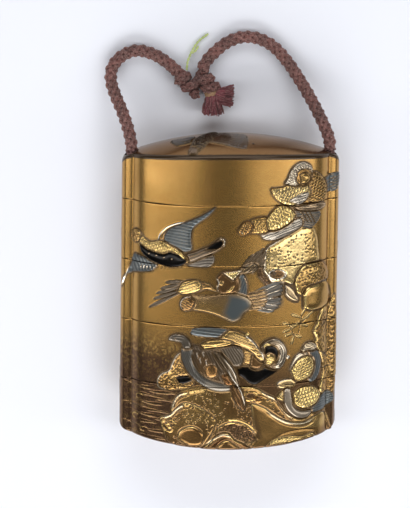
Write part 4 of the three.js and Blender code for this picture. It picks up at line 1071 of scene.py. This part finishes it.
def outer_wall(shell, sizes, bottom, top, edges, edge_shades=(None, None)):
    """The painted wall between two ends, each a function of the place across, with rounded edges."""
    (x, z), normal, u = plan(sizes.relief_pitch / MM, sizes.back_pitch / MM)
    steps = np.linspace(0, math.pi / 2, EDGE_ROWS)
    rows = int(round(float(np.max(top(x, z) - bottom(x, z))) / (sizes.relief_pitch / MM)))
    low, high = bottom(x, z) + edges[0], top(x, z) - edges[1]

    def rounded(end, edge, up, a):
        inset = edge * (1 - math.cos(a))
        return end(x - inset * normal[0], z - inset * normal[1]) + up * edge * (1 - math.sin(a)), inset

    wall = [rounded(bottom, edges[0], 1, a) for a in steps[::-1]]
    wall += [(low + t * (high - low), 0.0) for t in np.linspace(0, 1, rows + 1)[1:-1]]
    wall += [rounded(top, edges[1], -1, a) for a in steps]
    ys = np.array([y for y, inset in wall])
    insets = np.array([inset for y, inset in wall])[:, None]
    canvas = Canvas(np.broadcast_to(u, ys.shape), ys)
    paint(canvas)
    paint_back(canvas)
    shares = canvas.mix.reshape(-1, *ys.shape)
    # The painted shade given for an edge is laid over its rounded rows.
    for mix, place in zip(edge_shades, (slice(0, EDGE_ROWS), slice(-EDGE_ROWS - 2, None))):
        if mix is not None:
            shares[:, place] = mix[:, :, None]
    out = canvas.h.reshape(ys.shape) - insets
    at_z = np.maximum(z + out * normal[1], -MID_Z)
    numbers = shell.add(x + out * normal[0], ys, at_z, canvas.mix).reshape(ys.shape)
    shell.bridge(*numbers)
    return numbers[0], numbers[-1]


def seam_face(shell, outer, y, hollow):
    """The flat face at a seam, with the mouth of a socket or lip and of both channels."""
    x, z = oval(hollow)
    ring = shell.add(x, y, z)
    bores = [shell.add(bx, y, bz) for bx, bz in bore_circles()]
    shell.fill([outer, ring, *bores])
    return ring, bores


def hollow_down(shell, ring, shapes):
    """A run of oval rings from one that is there: each is its shape and its height."""
    rings = [ring]
    for shape, y in shapes:
        x, z = oval(shape)
        rings.append(shell.add(x, y(x, z) if callable(y) else y, z))
    shell.bridge(*rings)
    return rings[-1]


def closed_by(shell, ring, shape, y):
    """Closes a hollow with rings that shrink to its middle."""
    shell.cap(hollow_down(shell, ring, [((shape[0] * k, shape[1] * k), y) for k in (0.8, 0.5, 0.2)]))


def lip_and_room(shell, ring, y, floor):
    ring = hollow_down(shell, ring, [
        (LIP, y + LIP_HEIGHT - LIP_EASE), (less(LIP, LIP_EASE), y + LIP_HEIGHT),
        (less(ROOM, -LIP_EASE), y + LIP_HEIGHT), (ROOM, y + LIP_HEIGHT - LIP_EASE),
        (ROOM, lambda x, z: floor(x, z) + ROOM_EASE), (less(ROOM, ROOM_EASE), floor),
    ])
    closed_by(shell, ring, less(ROOM, ROOM_EASE), floor)


def socket(shell, ring, y):
    return hollow_down(shell, ring, [(SOCKET, y + SOCKET_DEPTH - SOCKET_EASE),
                                     (less(SOCKET, SOCKET_EASE), y + SOCKET_DEPTH)])


def middle_piece(sizes, look, name, low_seam, high_seam):
    shell = Shell()
    y0, y1 = low_seam + SEAM_GAP / 2, high_seam - SEAM_GAP / 2
    first, last = outer_wall(shell, sizes, flat(y0), flat(y1), (RIM, RIM))
    ring, low_bores = seam_face(shell, first, y0, SOCKET)
    closed_by(shell, socket(shell, ring, y0), less(SOCKET, SOCKET_EASE), flat(y0 + SOCKET_DEPTH))
    ring, high_bores = seam_face(shell, last, y1, LIP)
    lip_and_room(shell, ring, y1, flat(y0 + SOCKET_DEPTH + FLOOR))
    for bores in zip(low_bores, high_bores):
        shell.bridge(*bores)
    return shell.finish(name, look)


def end_face(shell, edge, seam_bores, height, pitch, stations=(), design=None, mix=UMBER):
    """The curved end of the lid or the base inside its edge, with the mouths of both channels."""
    end_bores = [shell.add(x, height(x, z), z) for x, z in bore_circles()]
    for bores in zip(seam_bores, end_bores):
        shell.bridge(*bores)
    outline = shell.across(edge) - (0, MID_Z)
    rows = np.unique(np.r_[np.arange(-BODY_B, BODY_B, pitch), stations])
    x, z = [a.ravel() for a in np.meshgrid(np.arange(-HALF_WIDTH, HALF_WIDTH, pitch), rows)]
    x = x + GRID_SKEW * np.sin(z * 7)
    keep = within(np.stack([x, z], axis=1), outline)
    for a in outline[:: max(1, len(outline) // 400)]:
        keep &= np.hypot(x - a[0], z - a[1]) > EDGE_CLEAR
    for bore_x in (-RUNNER_X, RUNNER_X):
        keep &= np.hypot(x - bore_x, z) > BORE_R + BORE_CLEAR
    x, z = x[keep], z[keep]
    canvas = Canvas(x, z)
    canvas.mix[:] = mix
    if design is None:
        canvas.h[:] = 0
    else:
        design(canvas)
    shell.fill([edge, *end_bores], [shell.add(x, height(x, z) + canvas.h, z, canvas.mix)])


def lid_piece(sizes, look):
    shell = Shell()
    y0 = SEAMS[0] + SEAM_GAP / 2

    def dome(x, z):
        return crown(LID_CROWN, x, z)

    def roof(x, z):
        return dome(x, z) - LID_ROOF

    # Painted shade along the top edge of the lid's wall, where it rounds over to the dome.
    painted_edge_shade = tone(rust=0.2, shade=1.0)
    first, last = outer_wall(shell, sizes, flat(y0), dome, (RIM, LID_EDGE), (None, painted_edge_shade))
    ring, bores = seam_face(shell, first, y0, SOCKET)
    ring = hollow_down(shell, socket(shell, ring, y0), [
        (ROOM, y0 + SOCKET_DEPTH), (ROOM, lambda x, z: roof(x, z) - ROOM_EASE),
        (less(ROOM, ROOM_EASE), roof),
    ])
    closed_by(shell, ring, less(ROOM, ROOM_EASE), roof)
    end_face(shell, last, bores, dome, sizes.dome_pitch / MM, design=paint_dome,
        mix=tone(rust=0.5, earth=0.3))
    return shell.finish("lid_shell", look)


def base_piece(sizes, look):
    shell = Shell()
    y1 = SEAMS[3] - SEAM_GAP / 2

    def under(x, z):
        return crown(BASE_CROWN, x, z)

    def grooved(x, z):
        down = GROOVE_SINK + GROOVE_DIP * np.clip((np.abs(x) - GROOVE_END) / GROOVE_RUN, 0, 1) ** 2
        cut = down + np.sqrt(np.clip(BORE_R**2 - z**2, 0, None))
        return under(x, z) + np.where((np.abs(z) < GROOVE_HALF) & (np.abs(x) < RUNNER_X), cut, 0.0)

    # Painted shade along the bottom edge of the base's wall, where it rounds under.
    painted_edge_shade = tone(earth=0.8, shade=0.3)
    first, last = outer_wall(shell, sizes, under, flat(y1), (BASE_EDGE, RIM), (painted_edge_shade, None))
    ring, bores = seam_face(shell, last, y1, LIP)
    lip_and_room(shell, ring, y1, lambda x, z: under(x, z) + BASE_FLOOR)
    end_face(shell, first, bores, grooved, BASE_PITCH, GROOVE_ROWS, mix=tone(rust=0.4, earth=0.3))
    return shell.finish("base_shell", look)


# ---------------------------------------------------------------- materials


class Nodes:
    """A node tree with short ways to add nodes and join them."""

    def __init__(self, tree):
        self.tree = tree

    def add(self, kind, inputs=(), **settings):
        made = self.tree.nodes.new(kind)
        for name, value in settings.items():
            setattr(made, name, value)
        for key, value in dict(inputs).items():
            if isinstance(value, bpy.types.NodeSocket):
                self.tree.links.new(value, made.inputs[key])
            else:
                made.inputs[key].default_value = value
        return made

    def math(self, operation, *values):
        return self.add("ShaderNodeMath", dict(enumerate(values)), operation=operation).outputs[0]

    def vector(self, operation, a, b):
        return self.add("ShaderNodeVectorMath", {0: a, 1: b}, operation=operation).outputs[0]

    def scaled(self, vector, amount):
        return self.add("ShaderNodeVectorMath", {0: vector, 3: amount}, operation="SCALE").outputs[0]

    def blend(self, share, a, b):
        return self.add("ShaderNodeMix", {0: share, 6: a, 7: b}, data_type="RGBA").outputs[2]

    def noise(self, place, scale, detail=2.0, rough=0.5):
        inputs = {"Vector": place, "Scale": scale, "Detail": detail, "Roughness": rough}
        return self.add("ShaderNodeTexNoise", inputs).outputs[0]

    def ramp(self, value, low, high):
        inputs = {0: value, 1: low, 2: high, 3: 0.0, 4: 1.0}
        return self.add("ShaderNodeMapRange", inputs, clamp=True).outputs[0]


def powder_group():
    """Sprinkled metal powder in lacquer: a mask of flecks, a slow drift and a fine grain."""
    group = bpy.data.node_groups.new("Sprinkled powder", "ShaderNodeTree")
    for name, default in (("Fleck Size", 0.25), ("Drift Size", 9.0)):
        made = group.interface.new_socket(name, in_out="INPUT", socket_type="NodeSocketFloat")
        made.default_value = default
    for name in ("Flecks", "Drift", "Grain"):
        group.interface.new_socket(name, in_out="OUTPUT", socket_type="NodeSocketFloat")
    n = Nodes(group)
    sizes = n.add("NodeGroupInput").outputs
    place = n.add("ShaderNodeTexCoord").outputs["Object"]
    fleck_scale, drift_scale = [n.math("DIVIDE", 1 / MM, size) for size in (sizes[0], sizes[1])]
    cells = n.add("ShaderNodeTexVoronoi", {"Vector": place, "Scale": fleck_scale}, feature="F1")
    bright = n.add("ShaderNodeSeparateColor", {0: cells.outputs["Color"]}).outputs[0]
    grain = n.noise(place, n.math("MULTIPLY", fleck_scale, 0.7), 3.0, 0.6)
    n.add("NodeGroupOutput", {0: n.ramp(bright, 0.55, 1.0), 1: n.noise(place, drift_scale, 3.0), 2: grain})
    return group


def new_material(name):
    made = bpy.data.materials.new(name)
    made.use_nodes = True
    made.node_tree.nodes.clear()
    return made, Nodes(made.node_tree)


def close_material(n, values):
    shader = n.add("ShaderNodeBsdfPrincipled", values)
    n.add("ShaderNodeOutputMaterial", {"Surface": shader.outputs[0]})


def rgba(colour):
    return (*colour, 1.0)


def lacquer_material(sizes):
    """Gold lacquer with the relief's other lacquers laid on it by the shares kept in the mesh."""
    made, n = new_material("Gold and coloured lacquer")
    flecks, drift, grain = n.add("ShaderNodeGroup", node_tree=powder_group()).outputs
    share = {name: n.add("ShaderNodeAttribute", attribute_name=name).outputs["Fac"] for name in LACQUERS}
    colour = n.blend(n.ramp(drift, 0.3, 0.75), rgba(sizes.gold), rgba(sizes.gold_deep))
    layers = [(n.math("MULTIPLY", flecks, FLECK_SHARE), sizes.gold_bright)]
    layers += [(share["bright"], sizes.gold_bright)]
    layers += [(share[name], getattr(sizes, name)) for name in ("slate", "silver", "black", "rust", "earth")]
    layers += [(n.math("MULTIPLY", grain, GRAIN_SHARE), GRAIN_COLOUR)]
    # The shade share darkens towards the outline colour: cut lines, and painted shade round forms, under
    # ridges and at the lid's and base's edges.
    layers += [(n.math("MULTIPLY", share["shade"], SHADE_SHARE), sizes.outline)]
    for amount, paint_colour in layers:
        colour = n.blend(amount, colour, rgba(paint_colour))
    dull = n.math("MAXIMUM", share["slate"], share["shade"])
    metal = n.math("SUBTRACT", 0.97, n.math("MULTIPLY", dull, 0.45))
    rough = n.math("ADD", 0.205, n.math("MULTIPLY", drift, 0.06))
    bump = n.add("ShaderNodeBump", {"Strength": 0.03, "Distance": 0.00006, "Height": grain})
    close_material(n, {"Base Color": colour, "Metallic": metal, "Roughness": rough, "Normal": bump.outputs[0],
                       "Coat Weight": 0.12, "Coat Roughness": 0.15})
    return made


def silk_material(name, base, deep, rough=0.75):
    """Yarn, each strand a little lighter or darker, with fibres along it, and its core painted near black as
    shade between the strands.
    """
    made, n = new_material(name)
    place = n.add("ShaderNodeTexCoord").outputs["Object"]
    strand = n.add("ShaderNodeAttribute", attribute_name="strand").outputs["Fac"]
    worn = n.math("ADD", n.noise(place, 260.0, 3.0), n.math("MULTIPLY", strand, 0.3))
    fibre = n.noise(place, 3200.0, 2.0)
    colour = n.blend(n.math("MULTIPLY", n.ramp(worn, 0.4, 0.9), 0.8), rgba(base), rgba(deep))
    colour = n.blend(n.math("MULTIPLY", n.ramp(fibre, 0.42, 0.75), 0.4), colour, rgba(FIBRE_COLOUR))
    # Painted shade: where the core shows between the strands it is near black.
    colour = n.blend(n.ramp(strand, 0.2, 0.05), colour, rgba(GAP_SHADE_COLOUR))
    bump = n.add("ShaderNodeBump", {"Strength": 0.5, "Distance": 0.00008, "Height": fibre})
    close_material(n, {"Base Color": colour, "Roughness": rough, "Normal": bump.outputs[0],
                       "Sheen Weight": 0.2, "Sheen Roughness": 0.4})
    return made


# ---------------------------------------------------------------- cord and tassel


def new_tree(name, numbers):
    """A geometry tree: its nodes and its inputs by name, the numbers with their defaults."""
    group = bpy.data.node_groups.new(name, "GeometryNodeTree")
    kinds = {key: "Int" if isinstance(value, int) else "Float" for key, value in numbers.items()}
    for key, kind in {"Geometry": "Geometry", **kinds, "Material": "Material"}.items():
        made = group.interface.new_socket(key, in_out="INPUT", socket_type="NodeSocket" + kind)
        if key in numbers:
            made.default_value = numbers[key]
    group.interface.new_socket("Geometry", in_out="OUTPUT", socket_type="NodeSocketGeometry")
    n = Nodes(group)
    return n, {made.name: made for made in n.add("NodeGroupInput").outputs}


def copied(n, line, amount):
    """Copies of a route, and the number of each."""
    inputs = {"Geometry": line, "Amount": amount}
    return n.add("GeometryNodeDuplicateElements", inputs, domain="SPLINE").outputs


def moved_off(n, copies, moves, share):
    """Copies moved off their route along its normal, its side and its run, each with its share kept."""
    normal = n.add("GeometryNodeInputNormal").outputs[0]
    run = n.add("GeometryNodeInputTangent").outputs[0]
    side = n.vector("CROSS_PRODUCT", run, normal)
    parts = [n.scaled(vector, amount) for vector, amount in zip((normal, side, run), moves)]
    offset = parts[0]
    for part in parts[1:]:
        offset = n.vector("ADD", offset, part)
    moved = n.add("GeometryNodeSetPosition", {"Geometry": copies, "Offset": offset})
    kept = {"Geometry": moved.outputs[0], "Name": "strand", "Value": share}
    return n.add("GeometryNodeStoreNamedAttribute", kept, data_type="FLOAT", domain="POINT").outputs[0]


def tube(n, line, sides, radius):
    ring = n.add("GeometryNodeCurvePrimitiveCircle", {"Resolution": sides, "Radius": radius}).outputs[0]
    inputs = {"Curve": line, "Profile Curve": ring, "Fill Caps": True}
    return n.add("GeometryNodeCurveToMesh", inputs).outputs[0]


def close_tree(n, tubes, material):
    join = n.add("GeometryNodeJoinGeometry")
    for made in tubes:
        n.tree.links.new(made, join.inputs[0])
    shaded = n.add("GeometryNodeSetShadeSmooth", {"Geometry": join.outputs[0]})
    real = n.add("GeometryNodeRealizeInstances", {"Geometry": shaded.outputs[0]})
    last = n.add("GeometryNodeSetMaterial", {"Geometry": real.outputs[0], "Material": material})
    n.add("NodeGroupOutput", {0: last.outputs[0]})
    return n.tree


def strands_tree():
    """Strands laid round a route: braided both ways, or twisted one way."""
    n, i = new_tree("Laid strands", {
        "Strands": 6, "Both Ways": 1.0, "Lay Radius": 0.001, "Strand Radius": 0.001, "Weave Depth": 0.001,
        "Turn Length": 0.001, "Step": 0.001, "Core Radius": 0.001, "Sides": 6,
    })
    by_step = {"Curve": i["Geometry"], "Length": i["Step"]}
    line = n.add("GeometryNodeResampleCurve", by_step, mode="LENGTH").outputs[0]
    copies, index = copied(n, line, n.math("MULTIPLY", i["Strands"], n.math("ADD", i["Both Ways"], 1.0)))
    back = n.math("GREATER_THAN", index, n.math("SUBTRACT", i["Strands"], 0.5))
    way = n.math("SUBTRACT", 1.0, n.math("MULTIPLY", 2.0, back))
    along = n.add("GeometryNodeSplineParameter").outputs["Length"]
    turn = n.math("MULTIPLY", n.math("DIVIDE", along, i["Turn Length"]), 2 * math.pi)
    part = n.math("MULTIPLY", n.math("DIVIDE", index, i["Strands"]), 2 * math.pi)
    angle = n.math("ADD", part, n.math("MULTIPLY", turn, way))
    ripple = n.math("COSINE", n.math("MULTIPLY", turn, i["Strands"]))
    depth = n.math("MULTIPLY", n.math("MULTIPLY", ripple, way), i["Weave Depth"])
    radius = n.math("ADD", i["Lay Radius"], depth)
    moves = [n.math("MULTIPLY", radius, n.math(wave, angle)) for wave in ("COSINE", "SINE")]
    # Each strand's tone is at least 0.25, so only the core, at 0, is painted dark as shade between the
    # strands.
    shade = n.math("ADD", 0.25, n.math("MULTIPLY", 0.75, n.math("FRACT", n.math("MULTIPLY", index, 0.377))))
    strands = moved_off(n, copies, moves, shade)
    tubes = [tube(n, strands, i["Sides"], i["Strand Radius"]), tube(n, line, 10, i["Core Radius"])]
    return close_tree(n, tubes, i["Material"])


def fringe_tree():
    """Loose ends in a bundle that opens out along a route, each cut at its own length."""
    n, i = new_tree("Frayed ends", {
        "Ends": 120, "Neck": 0.001, "Spread": 0.001, "Thread Radius": 0.001, "Ragged": 0.001, "Wave": 0.001,
        "Seed": 1,
    })
    by_count = {"Curve": i["Geometry"], "Count": 14}
    line = n.add("GeometryNodeResampleCurve", by_count, mode="COUNT").outputs[0]
    copies, index = copied(n, line, i["Ends"])

    def random(low, high, shift):
        inputs = {2: low, 3: high, "ID": index, "Seed": n.math("ADD", i["Seed"], shift)}
        return n.add("FunctionNodeRandomValue", inputs, data_type="FLOAT").outputs[1]

    t = n.add("GeometryNodeSplineParameter").outputs["Factor"]
    angle = random(0.0, 2 * math.pi, 1)
    opened = n.math("MULTIPLY", n.math("POWER", t, 0.7), i["Spread"])
    wide = n.math("MULTIPLY", n.math("ADD", i["Neck"], opened), n.math("SQRT", random(0.0, 1.0, 2)))
    phase = n.math("ADD", n.math("MULTIPLY", t, random(3.0, 9.0, 3)), random(0.0, 6.0, 4))
    wave = n.math("MULTIPLY", n.math("MULTIPLY", n.math("SINE", phase), t), i["Wave"])
    moves = [n.math("ADD", n.math("MULTIPLY", wide, n.math(way, angle)), wave) for way in ("COSINE", "SINE")]
    moves.append(n.math("MULTIPLY", n.math("MULTIPLY", random(-1.0, 0.0, 5), t), i["Ragged"]))
    ends = moved_off(n, copies, moves, random(0.0, 1.0, 6))
    return close_tree(n, [tube(n, ends, 5, i["Thread Radius"])], i["Material"])


def route_points(points):
    """A smooth route through a few places, in metres."""
    return curve(points, 12) * MM


def grown(name, routes, tree, values, node):
    """The plain mesh that a tree makes from one or more routes, in the place of a node."""
    data = bpy.data.curves.new(name + "_route", "CURVE")
    data.dimensions = "3D"
    for route in routes:
        spline = data.splines.new("POLY")
        spline.points.add(len(route) - 1)
        spline.points.foreach_set("co", np.c_[route, np.ones(len(route))].astype(np.float32).ravel())
    source = put(name + "_route", data)
    modifier = source.modifiers.new("Strands", "NODES")
    modifier.node_group = tree
    sockets = {made.name: made.identifier for made in tree.interface.items_tree
               if made.item_type == "SOCKET" and made.in_out == "INPUT"}
    for key, value in values.items():
        modifier[sockets[key]] = value
    graph = bpy.context.evaluated_depsgraph_get()
    graph.update()
    mesh = bpy.data.meshes.new_from_object(source.evaluated_get(graph), depsgraph=graph)
    mesh.name = name
    bpy.data.objects.remove(source)
    if not len(mesh.polygons):
        raise RuntimeError(f"the strands of {name} came out empty")
    face_outwards(mesh)
    return settle(put(name, mesh), node)


def in_metres(**sizes):
    """Sizes given in millimetres, by the names of a tree's inputs."""
    return {name.replace("_", " "): value * MM for name, value in sizes.items()}


def braid_values(radius, look, step=0.25, turn=8.4, sides=7):
    thick = radius * 0.33
    lengths = in_metres(Lay_Radius=radius - 1.25 * thick, Strand_Radius=thick, Weave_Depth=thick * 0.5,
                        Turn_Length=turn, Step=step, Core_Radius=radius * 0.54)
    return {"Strands": 4, "Both Ways": 1.0, "Sides": sides, "Material": look, **lengths}


def settle(piece, node):
    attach(piece, "root")
    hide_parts(node)
    return piece


def held_route():
    """Down one channel, along the groove under the base and up the other channel."""

    def under(x):
        return (x, float(crown(BASE_CROWN, x, 0.0)) + GROOVE_SINK, MID_Z)

    low = under(RUNNER_X)[1]
    down = [(RUNNER_X, y, MID_Z) for y in (EXIT_Y - 0.35, 21.25, 0, -21.25)]
    turn = [(RUNNER_X - inward, low + up, MID_Z) for inward, up in ((0, 6), (0.1, 3.2), (0.9, 1.1))]
    half = [*down, *turn, under(RUNNER_X - 3.2), under(16), under(8)]
    return [(-x, y, z) for x, y, z in half] + [under(0)] + half[::-1]


def coil(a, b, radius, turns, start):
    """A route, in metres, wound round the line from a to b."""
    a, b = np.array(a, float), np.array(b, float)
    along = (b - a) / np.linalg.norm(b - a)
    side = np.cross(along, (0, 0, 1))
    side /= np.linalg.norm(side)
    rise = np.cross(side, along)
    t = np.linspace(0, 1, int(turns * 14))[:, None]
    angle = start + 2 * math.pi * turns * t
    return (a + (b - a) * t + radius * (np.cos(angle) * side + np.sin(angle) * rise)) * MM


# ---------------------------------------------------------------- settings


def colour_of(name, default, description):
    return bpy.props.FloatVectorProperty(name=name, description=description, default=default, subtype="COLOR",
                                         size=3, min=0.0, max=1.0)


def size_of(name, default, description):
    return bpy.props.FloatProperty(name=name, description=description, default=default, subtype="DISTANCE",
                                   unit="LENGTH", precision=5)


class InroSizes(bpy.types.PropertyGroup):
    """Sizes and colours of the case and its cord."""

    relief_pitch: size_of("Relief pitch", 0.00015, "Distance between points of the relief on the front")
    back_pitch: size_of("Back pitch", 0.0004, "Distance between points across the back")
    dome_pitch: size_of("Dome pitch", 0.0003, "Distance between points of the lid's dome")
    gold: colour_of("Ground gold", (0.47, 0.27, 0.08), "Gold ground of the case")
    gold_deep: colour_of("Deep gold", (0.40, 0.215, 0.058), "Thinner places of the gold ground")
    gold_bright: colour_of("Bright gold", (0.80, 0.59, 0.23), "Raised gold")
    slate: colour_of("Slate", (0.09, 0.106, 0.108), "Blue-grey of the flight feathers")
    silver: colour_of("Silver", (0.57, 0.56, 0.51), "Pale rims and leading edges")
    black: colour_of("Black", (0.006, 0.006, 0.006), "Glossy black of two birds")
    rust: colour_of("Red brown", (0.16, 0.06, 0.025), "Red-brown lacquer")
    earth: colour_of("Brown", (0.13, 0.07, 0.038), "Dark brown lacquer with gold dust")
    # This colour also serves as painted shade wherever the shade share is laid.
    outline: colour_of("Outline", (0.03, 0.018, 0.01), "Lacquer left in the cut lines")
    cord: colour_of("Cord", (0.19, 0.066, 0.055), "Silk of the cord")
    cord_deep: colour_of("Cord shadow", (0.05, 0.014, 0.012), "Darker strands of the cord")
    tuft: colour_of("Tassel", (0.27, 0.05, 0.072), "Frayed silk of the ends")
    thread: colour_of("Thread", (0.66, 0.78, 0.30), "Thin cotton thread")
    thread_deep: colour_of("Thread shadow", (0.3, 0.4, 0.12), "Darker places of the cotton thread")
    tie: colour_of("Tie", (0.5, 0.3, 0.15), "Pale thread that binds the knot")
    tie_deep: colour_of("Tie shadow", (0.25, 0.14, 0.06), "Darker places of the binding thread")
    floor: colour_of("Floor", (0.82, 0.837, 0.9), "Colour of the floor")


# ---------------------------------------------------------------- operators


class INRO_OT_stage(bpy.types.Operator):
    """Make the camera, the lights and the pale floor"""

    bl_idname = "inro.stage"
    bl_label = "Stage"

    def execute(self, context):
        scene = context.scene
        tilt, turn, roll = [math.radians(angle) for angle in CAMERA_TURNS]
        away = Vector((-math.sin(turn), math.sin(tilt), 0.0))
        away.z = math.sqrt(1 - away.length_squared)
        right = (-away).cross(Vector((0, 1, 0))).normalized()
        up = right.cross(-away)
        right, up = math.cos(roll) * right - math.sin(roll) * up, math.cos(roll) * up + math.sin(roll) * right
        lens = bpy.data.cameras.new("Camera")
        lens.sensor_width = SENSOR
        lens.lens = SENSOR * CAMERA_AWAY / SEEN_HEIGHT
        lens.clip_start, lens.clip_end = 0.05, 20.0
        camera = put("Camera", lens)
        camera.matrix_world = Matrix((right, up, away)).transposed().to_4x4()
        camera.location = Vector(AIM) * MM + away * CAMERA_AWAY
        scene.camera = camera
        mesh = bpy.data.meshes.new("Floor")
        corners = [(x * FLOOR_HALF, y * FLOOR_HALF, 0) for x, y in ((-1, -1), (1, -1), (1, 1), (-1, 1))]
        mesh.from_pydata(corners, [], [(0, 1, 2, 3)])
        pale, n = new_material("Pale floor")
        close_material(n, {"Base Color": rgba(scene.inro_sizes.floor), "Roughness": 0.85})
        mesh.materials.append(pale)
        put("Floor", mesh)
        scene.world = bpy.data.worlds.new("Studio")
        scene.world.use_nodes = True
        scene.world.node_tree.nodes.clear()
        n = Nodes(scene.world.node_tree)
        sky = n.add("ShaderNodeBackground", {"Color": rgba(SKY), "Strength": SKY_STRENGTH})
        n.add("ShaderNodeOutputWorld", {"Surface": sky.outputs[0]})
        scene.view_settings.view_transform = "Standard"
        for name, (place, size, power) in SOFTBOXES.items():
            data = bpy.data.lights.new(name, "AREA")
            data.shape = "RECTANGLE"
            data.size, data.size_y = size
            data.energy = power
            lamp = put(name, data)
            lamp.location = place
            lamp.rotation_euler = (Vector((0, 0, 0.01)) - Vector(place)).to_track_quat("-Z", "Y").to_euler()
        return {"FINISHED"}


class INRO_OT_cord(bpy.types.Operator):
    """Braid the two free loops of cord and the stretch that the case holds"""

    bl_idname = "inro.cord"
    bl_label = "Cord"

    def execute(self, context):
        sizes = context.scene.inro_sizes
        look = silk_material("Braided silk", sizes.cord, sizes.cord_deep)
        tree = strands_tree()
        for name, route in (("loop_left", LEFT_ROUTE), ("loop_right", RIGHT_ROUTE)):
            lying = route_points([(x, y, max(z, LYING_Z)) for x, y, z in route])
            grown(name, [lying], tree, braid_values(CORD_R, look), "cord_" + name)
        values = braid_values(HELD_R, look, step=0.5, sides=4)
        grown("held_cord", [route_points(held_route())], tree, values, "cord_held")
        return {"FINISHED"}


class INRO_OT_tassel(bpy.types.Operator):
    """Make the knot, its tie, the frayed ends and the thread"""

    bl_idname = "inro.tassel"
    bl_label = "Knot and tassel"

    def execute(self, context):
        sizes = context.scene.inro_sizes
        tree = bpy.data.node_groups["Laid strands"]
        values = braid_values(KNOT_R, bpy.data.materials["Braided silk"], step=0.2, turn=7.0)
        knot = grown("knot_wraps", [coil(*turns) for turns in KNOT_COILS], tree, values, "knot")
        frayed = silk_material("Frayed silk", sizes.tuft, sizes.cord_deep, 0.8)
        fringe = fringe_tree()
        tufts = []
        for k, (name, route, node, spread) in enumerate(TUFTS):
            lengths = in_metres(Neck=1.0, Spread=spread, Thread_Radius=0.15, Ragged=0.9, Wave=0.25)
            values = {"Ends": 190, "Seed": 10 + k, "Material": frayed, **lengths}
            tufts.append(grown(name, [route_points(route)], fringe, values, node))
        cotton = silk_material("Thread cotton", sizes.thread, sizes.thread_deep, 0.85)
        lengths = in_metres(Lay_Radius=0.16, Strand_Radius=0.18, Weave_Depth=0.0, Turn_Length=2.0, Step=0.2,
                            Core_Radius=0.05)
        values = {"Strands": 2, "Both Ways": 0.0, "Sides": 6, "Material": cotton, **lengths}
        routes = [route_points(THREAD_ROUTE), route_points(THREAD_FORK)]
        thread = grown("thread", routes, tree, values, "tag_thread")
        values["Material"] = silk_material("Tie thread", sizes.tie, sizes.tie_deep, 0.8)
        tie = grown("tie_wraps", [coil(*TIE_COIL)], tree, values, "knot")
        for name, points, extra in (("loop_left", LEFT_ROUTE, [knot, tie, *tufts, thread]),
                                    ("loop_right", RIGHT_ROUTE, [])):
            route = route_points(points)
        return {"FINISHED"}


class INRO_OT_case(bpy.types.Operator):
    """Make the lid, the three middle pieces and the base, with their relief"""

    bl_idname = "inro.case"
    bl_label = "Case"

    def execute(self, context):
        sizes = context.scene.inro_sizes
        look = lacquer_material(sizes)
        settle(lid_piece(sizes, look), "lid")
        for k, level in enumerate(("upper", "middle", "lower")):
            shell = middle_piece(sizes, look, level + "_shell", SEAMS[k + 1], SEAMS[k])
            settle(shell, "case_" + level)
        settle(base_piece(sizes, look), "case_base")
        return {"FINISHED"}


OPERATORS = (INRO_OT_stage, INRO_OT_cord, INRO_OT_tassel, INRO_OT_case)


class INRO_PT_panel(bpy.types.Panel):
    """The inro's pieces and settings"""

    bl_idname = "INRO_PT_panel"
    bl_label = "Inro case"
    bl_space_type = "VIEW_3D"
    bl_region_type = "UI"
    bl_category = "Inro"

    def draw(self, context):
        for name in InroSizes.__annotations__:
            self.layout.prop(context.scene.inro_sizes, name)
        for made in OPERATORS:
            self.layout.operator(made.bl_idname)


CLASSES = (InroSizes, *OPERATORS, INRO_PT_panel)


def register():
    for made in CLASSES:
        bpy.utils.register_class(made)
    bpy.types.Scene.inro_sizes = bpy.props.PointerProperty(type=InroSizes)


def unregister():
    del bpy.types.Scene.inro_sizes
    for made in reversed(CLASSES):
        bpy.utils.unregister_class(made)


def main():
    register()
    bpy.ops.inro.stage()
    bpy.ops.inro.cord()
    bpy.ops.inro.tassel()
    bpy.ops.inro.case()


if __name__ == "__main__":
    main()
